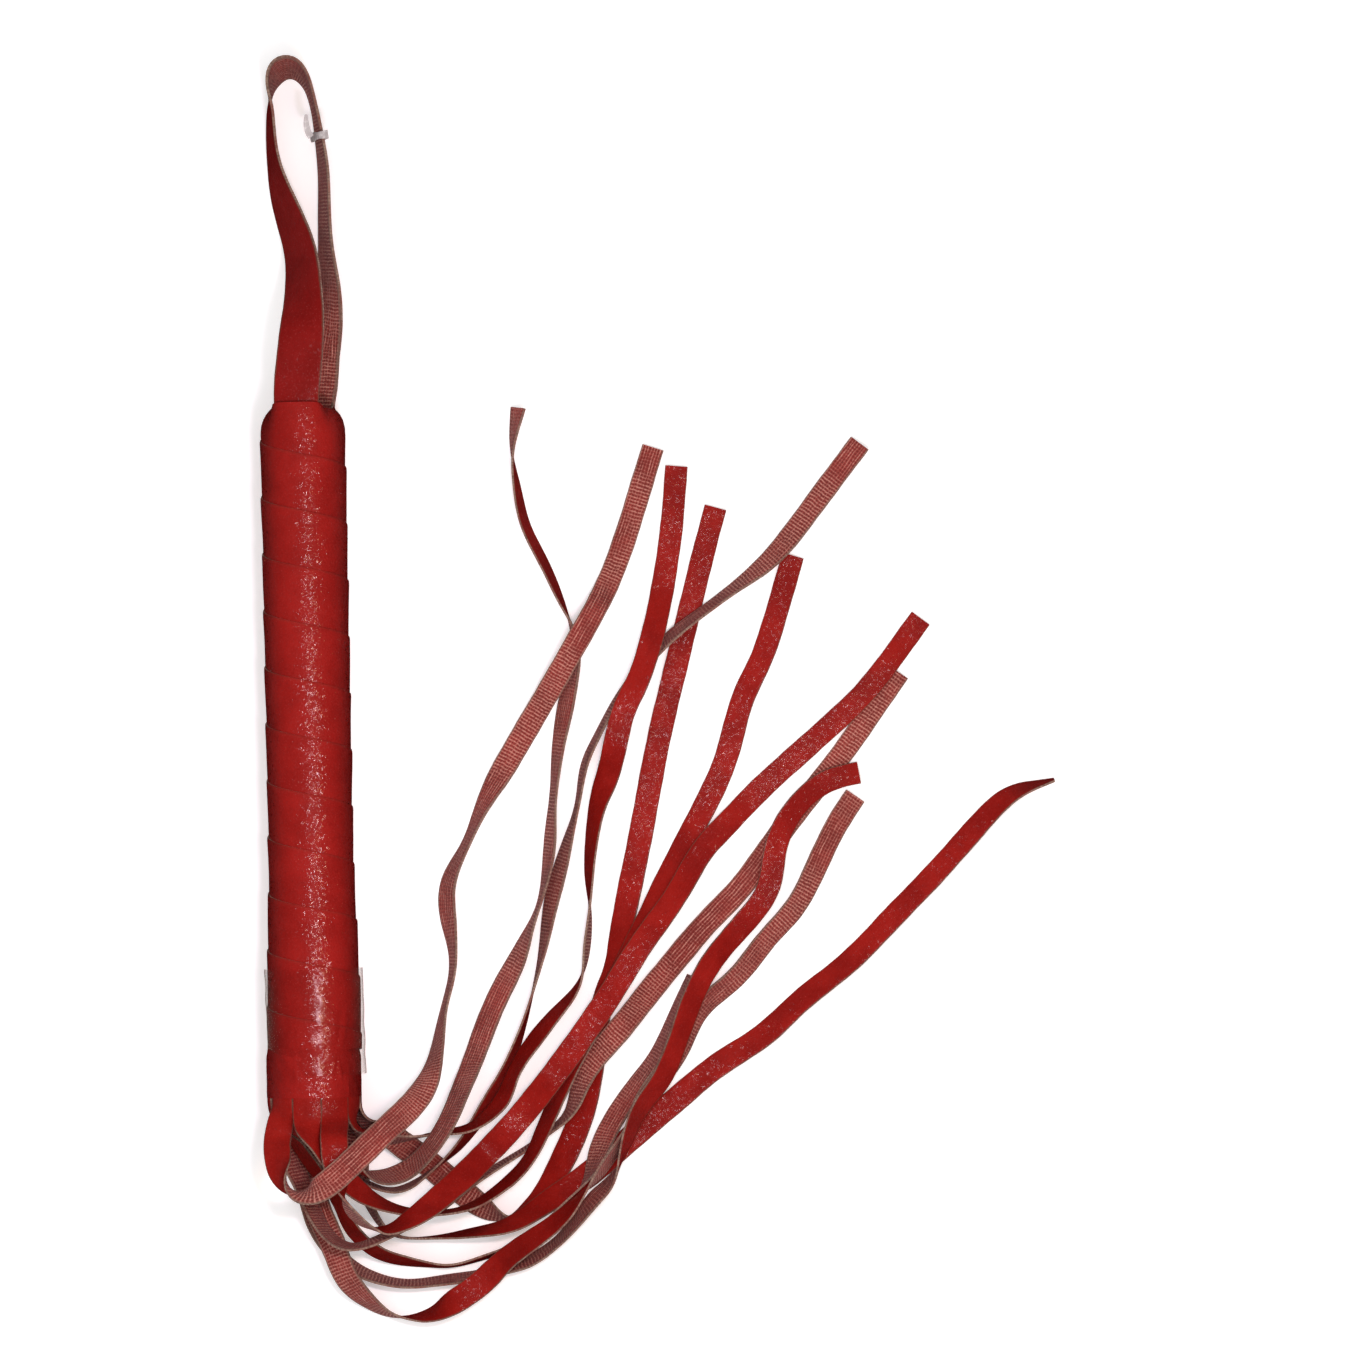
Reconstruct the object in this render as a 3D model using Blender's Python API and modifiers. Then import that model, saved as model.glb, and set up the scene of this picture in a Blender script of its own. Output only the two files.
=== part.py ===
"""Multi-tail strap whip, a circus and costume prop: a spiral-wrapped handle with a wrist loop
at one end and twelve flat tails at the other, lying on a table.

Frame: the origin is the centre of the pommel face, on the handle's axis. +Y points out of the
pommel, +Z is up from the table, and +X is the side that the tails fan out to. Sizes in this
script are millimetres and angles are degrees; MM turns them into Blender's metres.
"""

import math

import bmesh
import bpy
import numpy as np
from mathutils import Matrix, Vector

MM = 0.001
COLLECTION = "strap_whip"
CUTTER_COLLECTION = "cutters"

# Driving dimensions of the handle
HANDLE_LENGTH = 172.0        # pommel face to the lower edge of the wrap
CORE_RADIUS = 9.8
REBATE_RADIUS = 8.7          # the core is turned down where leather is fixed under the wrap
LEATHER = 0.8                # thickness of the leatherette
GAP = 0.3                    # clearance between neighbouring pieces
STRAP_REBATE_Y = -23.0
BAND_TOP_Y = -148.8
MOUTH_Y = -178.3             # the slits between the tails start here
CORE_END_Y = -176.5
CAP_THICKNESS = 1.6

# Spiral wrap: one long strip whose turns overlap like shingles
WRAP_PITCH = 14.7
WRAP_WIDTH = 17.6
WRAP_LEATHER = 0.75
WRAP_STEP = 1.05             # how far a turn's upper edge stands off
WRAP_INNER_RADIUS = 10.1
WRAP_BAND_RADIUS = 11.2      # inner radius where the wrap runs over the fringe band
WRAP_LEFT_EDGE_Y = -8.6      # first place where the strip's upper edge crosses the -X side
WRAP_TOP_Y = -0.4
WRAP_SWELL = (-124.0, -148.0)
WRAP_SEGMENTS = 28           # per turn

# Fringe band: the uncut part of the tail sheet, rolled about 1.2 turns round the core
TAIL_COUNT = 12
TAIL_PITCH_DEG = 35.5
FIRST_TAIL_DEG = -45.0
BAND_OUTER_END_DEG = FIRST_TAIL_DEG - TAIL_PITCH_DEG / 2
BAND_INNER_END_DEG = BAND_OUTER_END_DEG + TAIL_COUNT * TAIL_PITCH_DEG
BAND_INNER_RADIUS = 9.0
BAND_GROWTH = 0.95           # radius gained in one turn

TAPE_RADIUS = 13.3
TAPE_THICKNESS = 0.25
TAPE_SPAN = (-146.0, -173.5)

# Wrist strap
STRAP_WIDTH = 12.0
STRAP_LEATHER = 1.0
STUB_RADIUS = 9.05           # inner face of the tucked ends, on the core's rebate
STUB_SPAN = (-20.0, 4.0)
STUB_FRONT_DEG = -10.0
STUB_BACK_DEG = 159.0
LOOP_PIVOT_Y = 11.0
TAG_ALONG = 0.635            # place of the tag band, as a fraction of the loop's length
TAG_CLEARANCE = 0.8
TAG_WIRE = 0.45              # radius

# Tails
TAIL_WIDTH_MOUTH = 5.1       # side by side with its neighbours as it leaves the band
TAIL_WIDTH_ROOT = 7.2
TAIL_WIDTH_TIP = 5.8
TAIL_THICKNESS = 0.8
TAIL_STATION = 4.2           # spacing of the sections along a tail
TABLE_Z = -13.8
STACK_GAP = 0.55             # air between a tail and one that it lies on
STACK_SLOPE = 0.75           # steepest slope of a draped tail
STACK_BEND_RADIUS = 9.0
ROOT_ZONE = 8.0              # length in which a tail leaves the band before it may be lifted

# Tacks
TACK_HEAD_RADIUS = 1.65
TACK_HEAD_THICKNESS = 0.5
TACK_SHANK_RADIUS = 0.6
TACK_LENGTH = 6.5
TACK_HOLE_RADIUS = 0.95
LEATHER_HOLE_RADIUS = 2.0
TACK_HEAD_TOP = 9.65         # distance of a head's outer face from the handle's axis
BAND_TACKS_Y = -158.0
BAND_TACK_ANGLES = {"fringe_tack_1": 60.0, "fringe_tack_2": 150.0, "fringe_tack_3": 240.0}
STRAP_TACKS_Y = -12.0

# Each tail's centre line after the band: (x, y, roll). Roll 0 has the smooth face up, 180 has
# the woven face up and 90 stands on edge with the smooth face to the left of the way it runs.
# "slot" is the tail's place round the mouth, counted from the front's free edge.
TAILS = {
    "tail_01": {"slot": 0, "line": [
        (-10, -184, 0), (-10, -193, -8), (-9, -200, -45), (-6, -204, -95), (-1, -204, -150),
        (6, -199, -175), (18, -188, -180), (26, -181, -178), (30, -174, -135),
        (33, -160, -104), (36, -148, -103), (36, -140, -112), (35, -133, -132),
        (35, -125, -128), (40, -115, -108), (44, -106, -120), (54, -89, -178),
        (68, -66, -180), (80, -44, -180), (91, -12, -180)]},
    "tail_02": {"slot": 1, "line": [
        (-2, -184, 10), (0, -189, 45), (2, -193, 60), (6, -198, 40), (10, -203, 40),
        (14, -206, 60), (19, -208, 72), (25, -210, 80), (33, -210, 83), (40, -209, 80),
        (47, -205, 70), (55, -197, 65), (60, -187, 57), (68, -170, 50), (78, -152, 40),
        (87, -135, 30), (96, -118, 20), (101, -109, 10), (108, -95, 0), (113, -78, 10),
        (119, -66, 10), (127, -41, 0)]},
    "tail_03": {"slot": 2, "line": [
        (5, -184, 10), (5, -193, 12), (6, -200, 35), (7, -205, 100), (10, -210, 115),
        (13, -213, 108), (16, -215, 90), (19, -214, 68), (23, -212, 55), (28, -209, 35),
        (34, -204, 20), (39, -200, 10), (50, -189, 0), (62, -175, 0), (76, -156, 5),
        (85, -142, 10), (94, -130, 20), (102, -117, 15), (107, -112, 0), (118, -101, 0),
        (133, -88, 0), (146, -76, 0), (160, -58, 0)]},
    "tail_04": {"slot": 3, "line": [
        (10, -183, 95), (11, -188, 135), (17, -191, 120), (24, -191, 97), (35, -189, 80),
        (40, -189, 75), (49, -181, 55), (51, -175, 66), (57, -166, 55), (61, -161, 60),
        (69, -152, 80), (71, -144, 104), (72, -134, 97), (72, -124, 70), (73, -114, 62),
        (75, -104, 45), (78, -96, 15), (82, -80, 0), (86, -73, 20), (91, -57, 5),
        (95, -36, 0), (97, -17, 0)]},
    "tail_05": {"slot": 4, "line": [
        (13, -181, 120), (15, -186, 150), (20, -191, 165), (29, -198, 178),
        (38, -206, 175), (45, -211, 130), (49, -213, 95), (54, -211, 50), (59, -206, 35),
        (67, -191, 15), (71, -178, 20), (75, -156, 35), (78, -148, 45), (80, -139, 30),
        (82, -130, 15), (86, -112, 5), (91, -88, 0), (97, -65, 0), (103, -42, 0),
        (107, -28, 0)]},
    "tail_06": {"slot": 5, "line": [
        (10, -184, 140), (10, -193, 150), (12, -206, 110), (15, -212, 106),
        (17, -215, 100), (21, -217, 95), (32, -217, 87), (38, -216, 75), (45, -215, 67),
        (50, -214, 57), (55, -211, 45), (60, -208, 35), (71, -201, 8), (83, -191, 5),
        (93, -183, 10), (104, -174, 15), (117, -166, 20), (128, -156, 25),
        (140, -147, 25), (152, -135, 20), (165, -122, 20), (175, -111, 22),
        (180, -106, 35), (185, -103, 55), (190, -102, 75), (194, -101, 85)]},
    "tail_07": {"slot": 6, "line": [
        (1, -188, 175), (-2, -202, 180), (0, -210, 178), (4, -219, 162), (6, -226, 155),
        (9, -230, 145), (13, -234, 122), (17, -237, 107), (21, -238, 92), (26, -238, 77),
        (31, -236, 50), (36, -233, 15), (42, -229, 10), (47, -224, 30), (52, -220, 38),
        (62, -213, 50), (67, -208, 70), (71, -203, 95), (74, -200, 118), (81, -190, 108),
        (84, -183, 125), (88, -178, 140), (94, -171, 145), (100, -159, 140),
        (110, -151, 148), (118, -141, 150), (127, -131, 155), (136, -113, 170),
        (142, -104, 175)]},
    "tail_08": {"slot": 7, "line": [
        (-5, -187, -165), (-3, -201, -170), (0, -214, -150), (5, -222, -120),
        (11, -226, -112), (21, -229, -104), (27, -229, -106), (34, -228, -110),
        (42, -227, -108), (50, -225, -110), (54, -224, -120), (61, -220, -106),
        (64, -217, -110), (71, -208, -122), (74, -205, -125), (78, -202, -100),
        (79, -197, -80), (81, -192, -62), (84, -184, -50), (90, -177, -35),
        (94, -168, -38), (98, -157, -30), (103, -147, -25), (112, -137, -15),
        (119, -128, 0), (121, -116, -10), (126, -107, -20), (134, -100, -10),
        (143, -98, 0)]},
    "tail_09": {"slot": 8, "line": [
        (-9, -185, -128), (-7, -195, -145), (-4, -203, -125), (-1, -210, -118),
        (2, -215, -112), (5, -218, -106), (9, -219, -105), (17, -216, -104),
        (32, -209, -103), (40, -203, -104), (48, -198, -100), (55, -194, -98),
        (63, -188, -100), (67, -185, -115), (68, -180, -128), (71, -173, -148),
        (79, -164, -168), (89, -152, -172), (102, -137, -178), (112, -127, -178),
        (124, -111, -180), (138, -94, -180), (154, -72, -180)]},
    "tail_10": {"slot": 9, "line": [
        (-9, -185, -76), (-3, -195, -60), (2, -202, -64), (5, -206, -66), (7, -212, -60),
        (10, -216, -60), (16, -221, -58), (21, -223, -63), (28, -224, -79), (34, -225, -84),
        (44, -222, -79), (55, -218, -72), (62, -211, -75), (70, -203, -92),
        (72, -199, -128), (74, -193, -148), (80, -183, -142), (84, -177, -135),
        (88, -172, -122), (93, -161, -110), (98, -150, -105)]},
    "tail_11": {"slot": 10, "line": [
        (-5, -185, -58), (-2, -190, -72), (5, -197, -88), (10, -201, -95), (15, -203, -98),
        (20, -205, -98), (28, -201, -95), (37, -193, -75), (45, -182, -58), (51, -171, -70),
        (56, -156, -88), (59, -146, -100), (62, -130, -125), (65, -120, -122),
        (69, -107, -98), (71, -95, -106), (74, -89, -104), (80, -78, -102),
        (87, -69, -110), (94, -62, -118), (102, -56, -112), (113, -48, -118),
        (123, -40, -148), (134, -26, -160), (145, -12, -165)]},
    "tail_12": {"slot": 11, "line": [
        (0, -184, -16), (3, -191, -22), (8, -197, -40), (14, -201, -115), (22, -200, -130),
        (29, -194, -128), (35, -185, -130), (40, -173, -138), (47, -156, -145),
        (53, -145, -135), (56, -137, -105), (59, -131, -96), (61, -123, -108),
        (62, -115, -120), (63, -103, -104), (65, -89, -120), (67, -78, -132),
        (70, -63, -110), (66, -51, -75), (61, -40, -68), (57, -31, -68), (55, -20, -75),
        (54, -11, -100), (56, -1, -130)]},
}

# Which tail lies on which where two cross: (zone's upper x, tail numbers from bottom to top)
STACKING = [
    (-1.0, (8, 7, 6, 9, 10, 5, 4, 11, 12, 2, 3, 1)),
    (22.0, (8, 7, 10, 6, 9, 5, 4, 11, 12, 2, 3, 1)),
    (50.0, (8, 10, 7, 5, 6, 9, 2, 11, 4, 12, 3, 1)),
    (72.0, (5, 6, 8, 10, 7, 9, 2, 11, 4, 12, 3, 1)),
    (math.inf, (5, 6, 10, 7, 9, 8, 2, 11, 4, 12, 3, 1)),
]

# The moving part of the wrist strap, from the front leg round to the back leg
LOOP_LINE = [
    (0, 14, 6), (1, 28, 33), (0, 41, 46), (-4, 54, 58), (-6, 62, 72), (-7, 70, 78),
    (-7, 80, 84), (-6.4, 86.5, 112), (-2.4, 90.2, 123), (2, 86.6, 104), (3.9, 80.8, 97),
    (4.9, 76, 98), (6.4, 63.6, 103), (6.6, 52, 105), (6.8, 41, 109), (7, 28, 128),
    (4, 14, 165)]
LOOP_END_HEIGHTS = (8.7, -9.3)

COLOURS = {
    "leatherette": (0.30, 0.012, 0.010),
    "leatherette_back": (0.36, 0.075, 0.055),
    "wood": (0.55, 0.38, 0.22),
    "steel": (0.45, 0.45, 0.47),
    "clear_film": (0.75, 0.75, 0.72),
}


# ---------------------------------------------------------------- scene and materials

def clear_scene():
    for obj in list(bpy.data.objects):
        bpy.data.objects.remove(obj, do_unlink=True)


def make_collection(name):
    collection = bpy.data.collections.new(name)
    bpy.context.scene.collection.children.link(collection)
    return collection


def make_material(name, kind, roughness, metallic=0.0):
    material = bpy.data.materials.new(name)
    material.use_nodes = True
    shader = material.node_tree.nodes["Principled BSDF"]
    shader.inputs["Base Color"].default_value = (*COLOURS[kind], 1.0)
    shader.inputs["Roughness"].default_value = roughness
    shader.inputs["Metallic"].default_value = metallic
    return material


def finish_mesh(name, bm, material, collection, smooth_below=40.0):
    """Writes bm, in millimetres, to a new object whose outside faces out."""
    bmesh.ops.scale(bm, vec=(MM, MM, MM), verts=bm.verts)
    bmesh.ops.recalc_face_normals(bm, faces=bm.faces)
    mesh = bpy.data.meshes.new(name)
    bm.to_mesh(mesh)
    bm.free()
    mesh.shade_smooth()
    mesh.set_sharp_from_angle(angle=math.radians(smooth_below))
    obj = bpy.data.objects.new(name, mesh)
    mesh.materials.append(material)
    collection.objects.link(obj)
    return obj


def set_origin(obj, point):
    """Moves the object's origin to a point given in millimetres, leaving its shape in place."""
    offset = Vector(point) * MM
    obj.data.transform(Matrix.Translation(-offset))
    obj.location = offset


def loft(rings, closed=False):
    """A closed body through a row of point rings; its ends are capped unless it closes on itself."""
    bm = bmesh.new()
    rows = [[bm.verts.new(point) for point in ring] for ring in rings]
    pairs = list(zip(rows, rows[1:]))
    if closed:
        pairs.append((rows[-1], rows[0]))
    for near, far in pairs:
        for i in range(len(near)):
            j = (i + 1) % len(near)
            bm.faces.new((near[i], near[j], far[j], far[i]))
    if not closed:
        bm.faces.new(list(reversed(rows[0])))
        bm.faces.new(rows[-1])
    return bm


def around(radius, y, angle):
    """A point at this distance from the handle's axis; angle 0 is up and 90 is +X."""
    turn = math.radians(angle)
    return Vector((radius * math.sin(turn), y, radius * math.cos(turn)))


# ---------------------------------------------------------------- handle

def turned(name, profile, segments, material, collection, closed=False):
    """A body turned about the handle's axis from (radius, y) points, outer side from the pommel down."""
    mesh = bpy.data.meshes.new(name)
    points = [(radius * MM, 0.0, y * MM) for radius, y in profile]
    edges = [(i, i + 1) for i in range(len(points) - 1)]
    if closed:
        edges.append((len(points) - 1, 0))
    mesh.from_pydata(points, edges, [])
    mesh.materials.append(material)
    obj = bpy.data.objects.new(name, mesh)
    obj.rotation_euler = (math.radians(-90.0), 0.0, 0.0)
    collection.objects.link(obj)
    screw = obj.modifiers.new("turn", 'SCREW')
    screw.axis = 'Z'
    screw.steps = screw.render_steps = segments
    screw.use_merge_vertices = True
    screw.merge_threshold = 0.00001
    screw.use_smooth_shade = False
    return obj


def make_core(materials, collection):
    r, s = CORE_RADIUS, REBATE_RADIUS
    profile = [(0, -CAP_THICKNESS - GAP), (s, -CAP_THICKNESS - GAP), (s, STRAP_REBATE_Y),
               (r, STRAP_REBATE_Y - 1), (r, BAND_TOP_Y + 1.8), (s, BAND_TOP_Y + 0.8),
               (s, CORE_END_Y + 1), (s - 1, CORE_END_Y), (0, CORE_END_Y)]
    return turned("core_dowel", profile, 40, materials["wood"], collection)


def make_cap(materials, collection):
    r, bevel = REBATE_RADIUS, 0.7
    profile = [(0, 0), (r - bevel, 0), (r, -bevel), (r, -CAP_THICKNESS), (0, -CAP_THICKNESS)]
    return turned("pommel_cap", profile, 40, materials["leather"], collection)


def wrap_inner_radius(y):
    start, end = WRAP_SWELL
    u = min(max((start - y) / (start - end), 0.0), 1.0)
    swell = u * u * (3 - 2 * u)
    return WRAP_INNER_RADIUS + (WRAP_BAND_RADIUS - WRAP_INNER_RADIUS) * swell


def wrap_ring(angle, highest, lowest):
    """The strip's section at a turn angle, trimmed to the handle's ends, or None where it is a sliver."""
    top = WRAP_LEFT_EDGE_Y - WRAP_PITCH * (angle + 90.0) / 360.0
    bottom = top - WRAP_WIDTH
    cut_top, cut_bottom = min(top, highest), max(bottom, lowest)
    if cut_top - cut_bottom < 3.0:
        return None
    inner_top = wrap_inner_radius(top) + WRAP_STEP
    inner_bottom = wrap_inner_radius(bottom)
    ring = []
    for y, extra in ((cut_top, 0), (cut_bottom, 0), (cut_bottom, WRAP_LEATHER),
                     (cut_top, WRAP_LEATHER)):
        along = (top - y) / WRAP_WIDTH
        radius = inner_top + (inner_bottom - inner_top) * along + extra
        ring.append(around(radius, y, angle))
    return ring


def make_wrap(materials, collection):
    turns = (HANDLE_LENGTH + 2 * WRAP_WIDTH) / WRAP_PITCH
    rings = []
    for k in range(-2 * WRAP_SEGMENTS, int(turns * WRAP_SEGMENTS) + 1):
        ring = wrap_ring(k * 360.0 / WRAP_SEGMENTS, WRAP_TOP_Y, -HANDLE_LENGTH)
        if ring:
            rings.append(ring)
    return finish_mesh("grip_wrap", loft(rings), materials["leather"], collection)


def band_radius(angle):
    """Inner radius of the rolled tail sheet; angle runs on through the overlap."""
    return BAND_INNER_RADIUS + BAND_GROWTH * (BAND_INNER_END_DEG - angle) / 360.0


def make_band(materials, collection):
    steps = 48
    rings = []
    for k in range(steps + 1):
        angle = BAND_OUTER_END_DEG + (BAND_INNER_END_DEG - BAND_OUTER_END_DEG) * k / steps
        inner = band_radius(angle)
        rings.append([around(inner, BAND_TOP_Y, angle), around(inner, MOUTH_Y, angle),
                      around(inner + LEATHER, MOUTH_Y, angle),
                      around(inner + LEATHER, BAND_TOP_Y, angle)])
    return finish_mesh("fringe_band", loft(rings), materials["leather"], collection)


def make_tape(materials, collection):
    top, bottom = TAPE_SPAN
    outer = TAPE_RADIUS + TAPE_THICKNESS
    profile = [(TAPE_RADIUS, bottom), (TAPE_RADIUS, top), (outer, top), (outer, bottom)]
    return turned("clear_tape", profile, 48, materials["film"], collection, closed=True)


# ---------------------------------------------------------------- strips

def smooth_line(line, spacing, soften):
    """Dense samples of a line of (x, y, roll) points, evenly spaced and softened."""
    points = np.array(line, dtype=float)
    padded = np.vstack([2 * points[0] - points[1], points, 2 * points[-1] - points[-2]])
    dense = []
    for a, b, c, d in zip(padded, padded[1:], padded[2:], padded[3:]):
        for t in np.linspace(0.0, 1.0, 16, endpoint=False):
            dense.append(0.5 * (2 * b + (c - a) * t + (2 * a - 5 * b + 4 * c - d) * t ** 2
                                + (3 * b - a - 3 * c + d) * t ** 3))
    dense.append(points[-1])
    samples = respace(np.array(dense), spacing)
    reach = int(3 * soften / spacing)
    kernel = np.exp(-0.5 * (np.arange(-reach, reach + 1) * spacing / soften) ** 2)
    kernel /= kernel.sum()
    before = 2 * samples[0] - samples[reach:0:-1]
    after = 2 * samples[-1] - samples[-2:-reach - 2:-1]
    extended = np.vstack([before, samples, after])
    columns = [np.convolve(extended[:, c], kernel, mode="valid") for c in range(3)]
    return respace(np.stack(columns, axis=1), spacing)


def respace(samples, spacing):
    """The same line with its points evenly spaced over x and y."""
    steps = np.hypot(*np.diff(samples[:, :2], axis=0).T)
    run = np.concatenate([[0.0], np.cumsum(steps)])
    count = max(int(round(run[-1] / spacing)), 2)
    at = np.linspace(0.0, run[-1], count + 1)
    return np.stack([np.interp(at, run, samples[:, c]) for c in range(samples.shape[1])], axis=1)


def sections(samples, heights, half_widths):
    """Centre, width direction and smooth-face direction of a strip at each sample."""
    centres = np.column_stack([samples[:, :2], heights])
    tangents = np.gradient(centres, axis=0)
    tangents /= np.linalg.norm(tangents, axis=1, keepdims=True)
    tangents[0] = (0.0, math.copysign(1.0, tangents[0, 1]), 0.0)
    left = np.column_stack([-tangents[:, 1], tangents[:, 0], np.zeros(len(samples))])
    left /= np.linalg.norm(left, axis=1, keepdims=True)
    up = np.cross(tangents, left)
    roll = np.radians(samples[:, 2])[:, None]
    across = np.cos(roll) * left - np.sin(roll) * up
    normal = np.cos(roll) * up + np.sin(roll) * left
    return centres, across * half_widths[:, None], normal


def strip_rings(samples, heights, half_widths, thickness):
    centres, across, normal = sections(samples, heights, half_widths)
    half = normal * thickness / 2
    corners = (centres - across - half, centres + across - half,
               centres + across + half, centres - across + half)
    return [[Vector(corner[i]) for corner in corners] for i in range(len(centres))]


# ---------------------------------------------------------------- tails

class Tail:
    """One tail's dense centre line, its widths and its heights above the table."""

    def __init__(self, name, slot, line):
        self.name = name
        self.number = int(name.split("_")[1])
        angle = FIRST_TAIL_DEG + slot * TAIL_PITCH_DEG
        root = around(band_radius(angle) + LEATHER / 2, MOUTH_Y - GAP, angle)
        roll = angle
        first_roll = line[0][2]
        while roll - first_roll > 180:
            roll -= 360
        start = [(root.x, root.y, roll), (root.x, root.y - 1.5, roll)]
        self.samples = smooth_line(start + line, 1.0, 2.2)
        self.samples[0] = (root.x, root.y, roll)
        self.root_height = root.z
        along = np.linspace(0.0, 1.0, len(self.samples))
        self.half_widths = (TAIL_WIDTH_ROOT + (TAIL_WIDTH_TIP - TAIL_WIDTH_ROOT) * along) / 2
        spread = np.clip((np.arange(len(self.samples)) - 3.0) / ROOT_ZONE, 0.0, 1.0)
        self.half_widths -= (1.0 - spread) * (TAIL_WIDTH_ROOT - TAIL_WIDTH_MOUTH) / 2
        roll = np.radians(self.samples[:, 2])
        reach = self.half_widths * np.abs(np.sin(roll)) + TAIL_THICKNESS / 2 * np.abs(np.cos(roll))
        self.supports = TABLE_Z + 0.1 + reach
        self.supports[0] = max(self.supports[0], self.root_height)
        self.relax()

    def relax(self):
        """Lays the line over its supports, which it leaves with a bounded bend and slope."""
        bend_length = STACK_SLOPE * STACK_BEND_RADIUS
        source = self.supports
        self.heights = source.copy()
        for step in range(1, 60):
            if step < bend_length:
                drop = step ** 2 / (2 * STACK_BEND_RADIUS)
            else:
                drop = bend_length * STACK_SLOPE / 2 + (step - bend_length) * STACK_SLOPE
            self.heights[step:] = np.maximum(self.heights[step:], source[:-step] - drop)
            self.heights[:-step] = np.maximum(self.heights[:-step], source[step:] - drop)

    def cloud(self):
        """Points across the strip: x, y, height above the centre line, half depth, sample index."""
        rows = []
        roll = np.radians(self.samples[:, 2])
        tangent = np.gradient(self.samples[:, :2], axis=0)
        tangent /= np.linalg.norm(tangent, axis=1, keepdims=True)
        left = np.column_stack([-tangent[:, 1], tangent[:, 0]])
        depth = np.full(len(roll), TAIL_THICKNESS / 2 + 0.05)
        for u in np.linspace(-1.0, 1.0, 9):
            shift = u * self.half_widths * np.cos(roll)
            place = self.samples[:, :2] + left * shift[:, None]
            rise = -u * self.half_widths * np.sin(roll)
            rows.append(np.column_stack([place, rise, depth, np.arange(len(roll))]))
        cloud = np.vstack(rows)
        return cloud[cloud[:, 4] >= ROOT_ZONE]

    def settle_root(self):
        """Brings the first stretch back to the height at which the band holds it."""
        count = int(ROOT_ZONE) + 1
        share = np.linspace(0.0, 1.0, count)
        share = share * share * (3 - 2 * share)
        held = np.full(count, self.root_height)
        self.heights[:count] = held + (self.heights[:count] - held) * share

    def rings(self):
        count = max(int(round(len(self.samples) / TAIL_STATION)), 8)
        at = np.linspace(0, len(self.samples) - 1, count + 1)
        index = np.arange(len(self.samples))
        samples = np.stack([np.interp(at, index, self.samples[:, c]) for c in range(3)], axis=1)
        heights = np.interp(at, index, self.heights)
        widths = np.interp(at, index, self.half_widths)
        return strip_rings(samples, heights, widths, TAIL_THICKNESS)


def crossing_needs(first, second):
    """Where two tails share a place: (upper, lower, their sample indices, least height between)."""
    a, b = first.cloud(), second.cloud()
    reach = TAIL_THICKNESS / 2 + 0.7
    near = np.argwhere(np.hypot(a[:, None, 0] - b[None, :, 0], a[:, None, 1] - b[None, :, 1]) < reach)
    needs = {}
    for i, j in near:
        x = (a[i, 0] + b[j, 0]) / 2
        order = next(numbers for limit, numbers in STACKING if x < limit)
        first_on_top = order.index(first.number) > order.index(second.number)
        depth = a[i, 3] + b[j, 3] + STACK_GAP
        if first_on_top:
            key, need = (True, int(a[i, 4]), int(b[j, 4])), b[j, 2] - a[i, 2] + depth
        else:
            key, need = (False, int(b[j, 4]), int(a[i, 4])), a[i, 2] - b[j, 2] + depth
        needs[key] = max(needs.get(key, -math.inf), need)
    found = []
    for on_top, upper, lower in ((True, first, second), (False, second, first)):
        rows = [(i, j, need) for (side, i, j), need in needs.items() if side == on_top]
        if rows:
            table = np.array(rows)
            found.append((upper, lower, table[:, 0].astype(int), table[:, 1].astype(int), table[:, 2]))
    return found


def stack_tails(tails):
    """Lays the tails on the table and over each other in the order of STACKING."""
    needs = []
    for i, first in enumerate(tails):
        for second in tails[i + 1:]:
            needs += crossing_needs(first, second)
    for _ in range(40):
        moved = 0.0
        for upper, lower, i, j, need in needs:
            wanted = lower.heights[j] + need
            moved = max(moved, float(np.max(wanted - upper.supports[i])))
            np.maximum.at(upper.supports, i, wanted)
        for tail in tails:
            tail.relax()
        if moved < 0.01:
            break
    for tail in tails:
        tail.settle_root()


def make_tails(materials, collection):
    tails = [Tail(name, **data) for name, data in TAILS.items()]
    stack_tails(tails)
    for tail in tails:
        finish_mesh(tail.name, loft(tail.rings()), materials["tail"], collection)
    return tails


# ---------------------------------------------------------------- wrist strap

def stub_ring(y, middle, start_angle, sign):
    """Section of a tucked strap end: it hugs the core inside the handle and flattens outside it."""
    columns = 6
    flatten = min(max(y / 10.0, 0.0), 1.0)
    radius = STUB_RADIUS + STRAP_LEATHER / 2 - 0.15
    lower, upper = [], []
    for k in range(columns + 1):
        offset = STRAP_WIDTH * (k / columns - 0.5)
        angle = start_angle + math.degrees(offset / radius)
        curved = around(radius, y, angle)
        flat = Vector((middle + sign * offset, y, sign * radius))
        centre = curved.lerp(flat, flatten)
        outward = around(1.0, 0.0, angle).lerp(Vector((0, 0, sign)), flatten).normalized()
        half = outward * (STRAP_LEATHER / 2 - 0.15)
        lower.append(centre - half)
        upper.append(centre + half)
    return lower + list(reversed(upper))


def make_stub(name, angle, sign, materials, collection):
    radius = STUB_RADIUS + STRAP_LEATHER / 2
    middle = radius * math.sin(math.radians(angle))
    start, end = STUB_SPAN
    rings = [stub_ring(y, middle, angle, sign) for y in (start, -8.0, 0.0, 2.0, end)]
    return finish_mesh(name, loft(rings), materials["strap"], collection)


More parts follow.
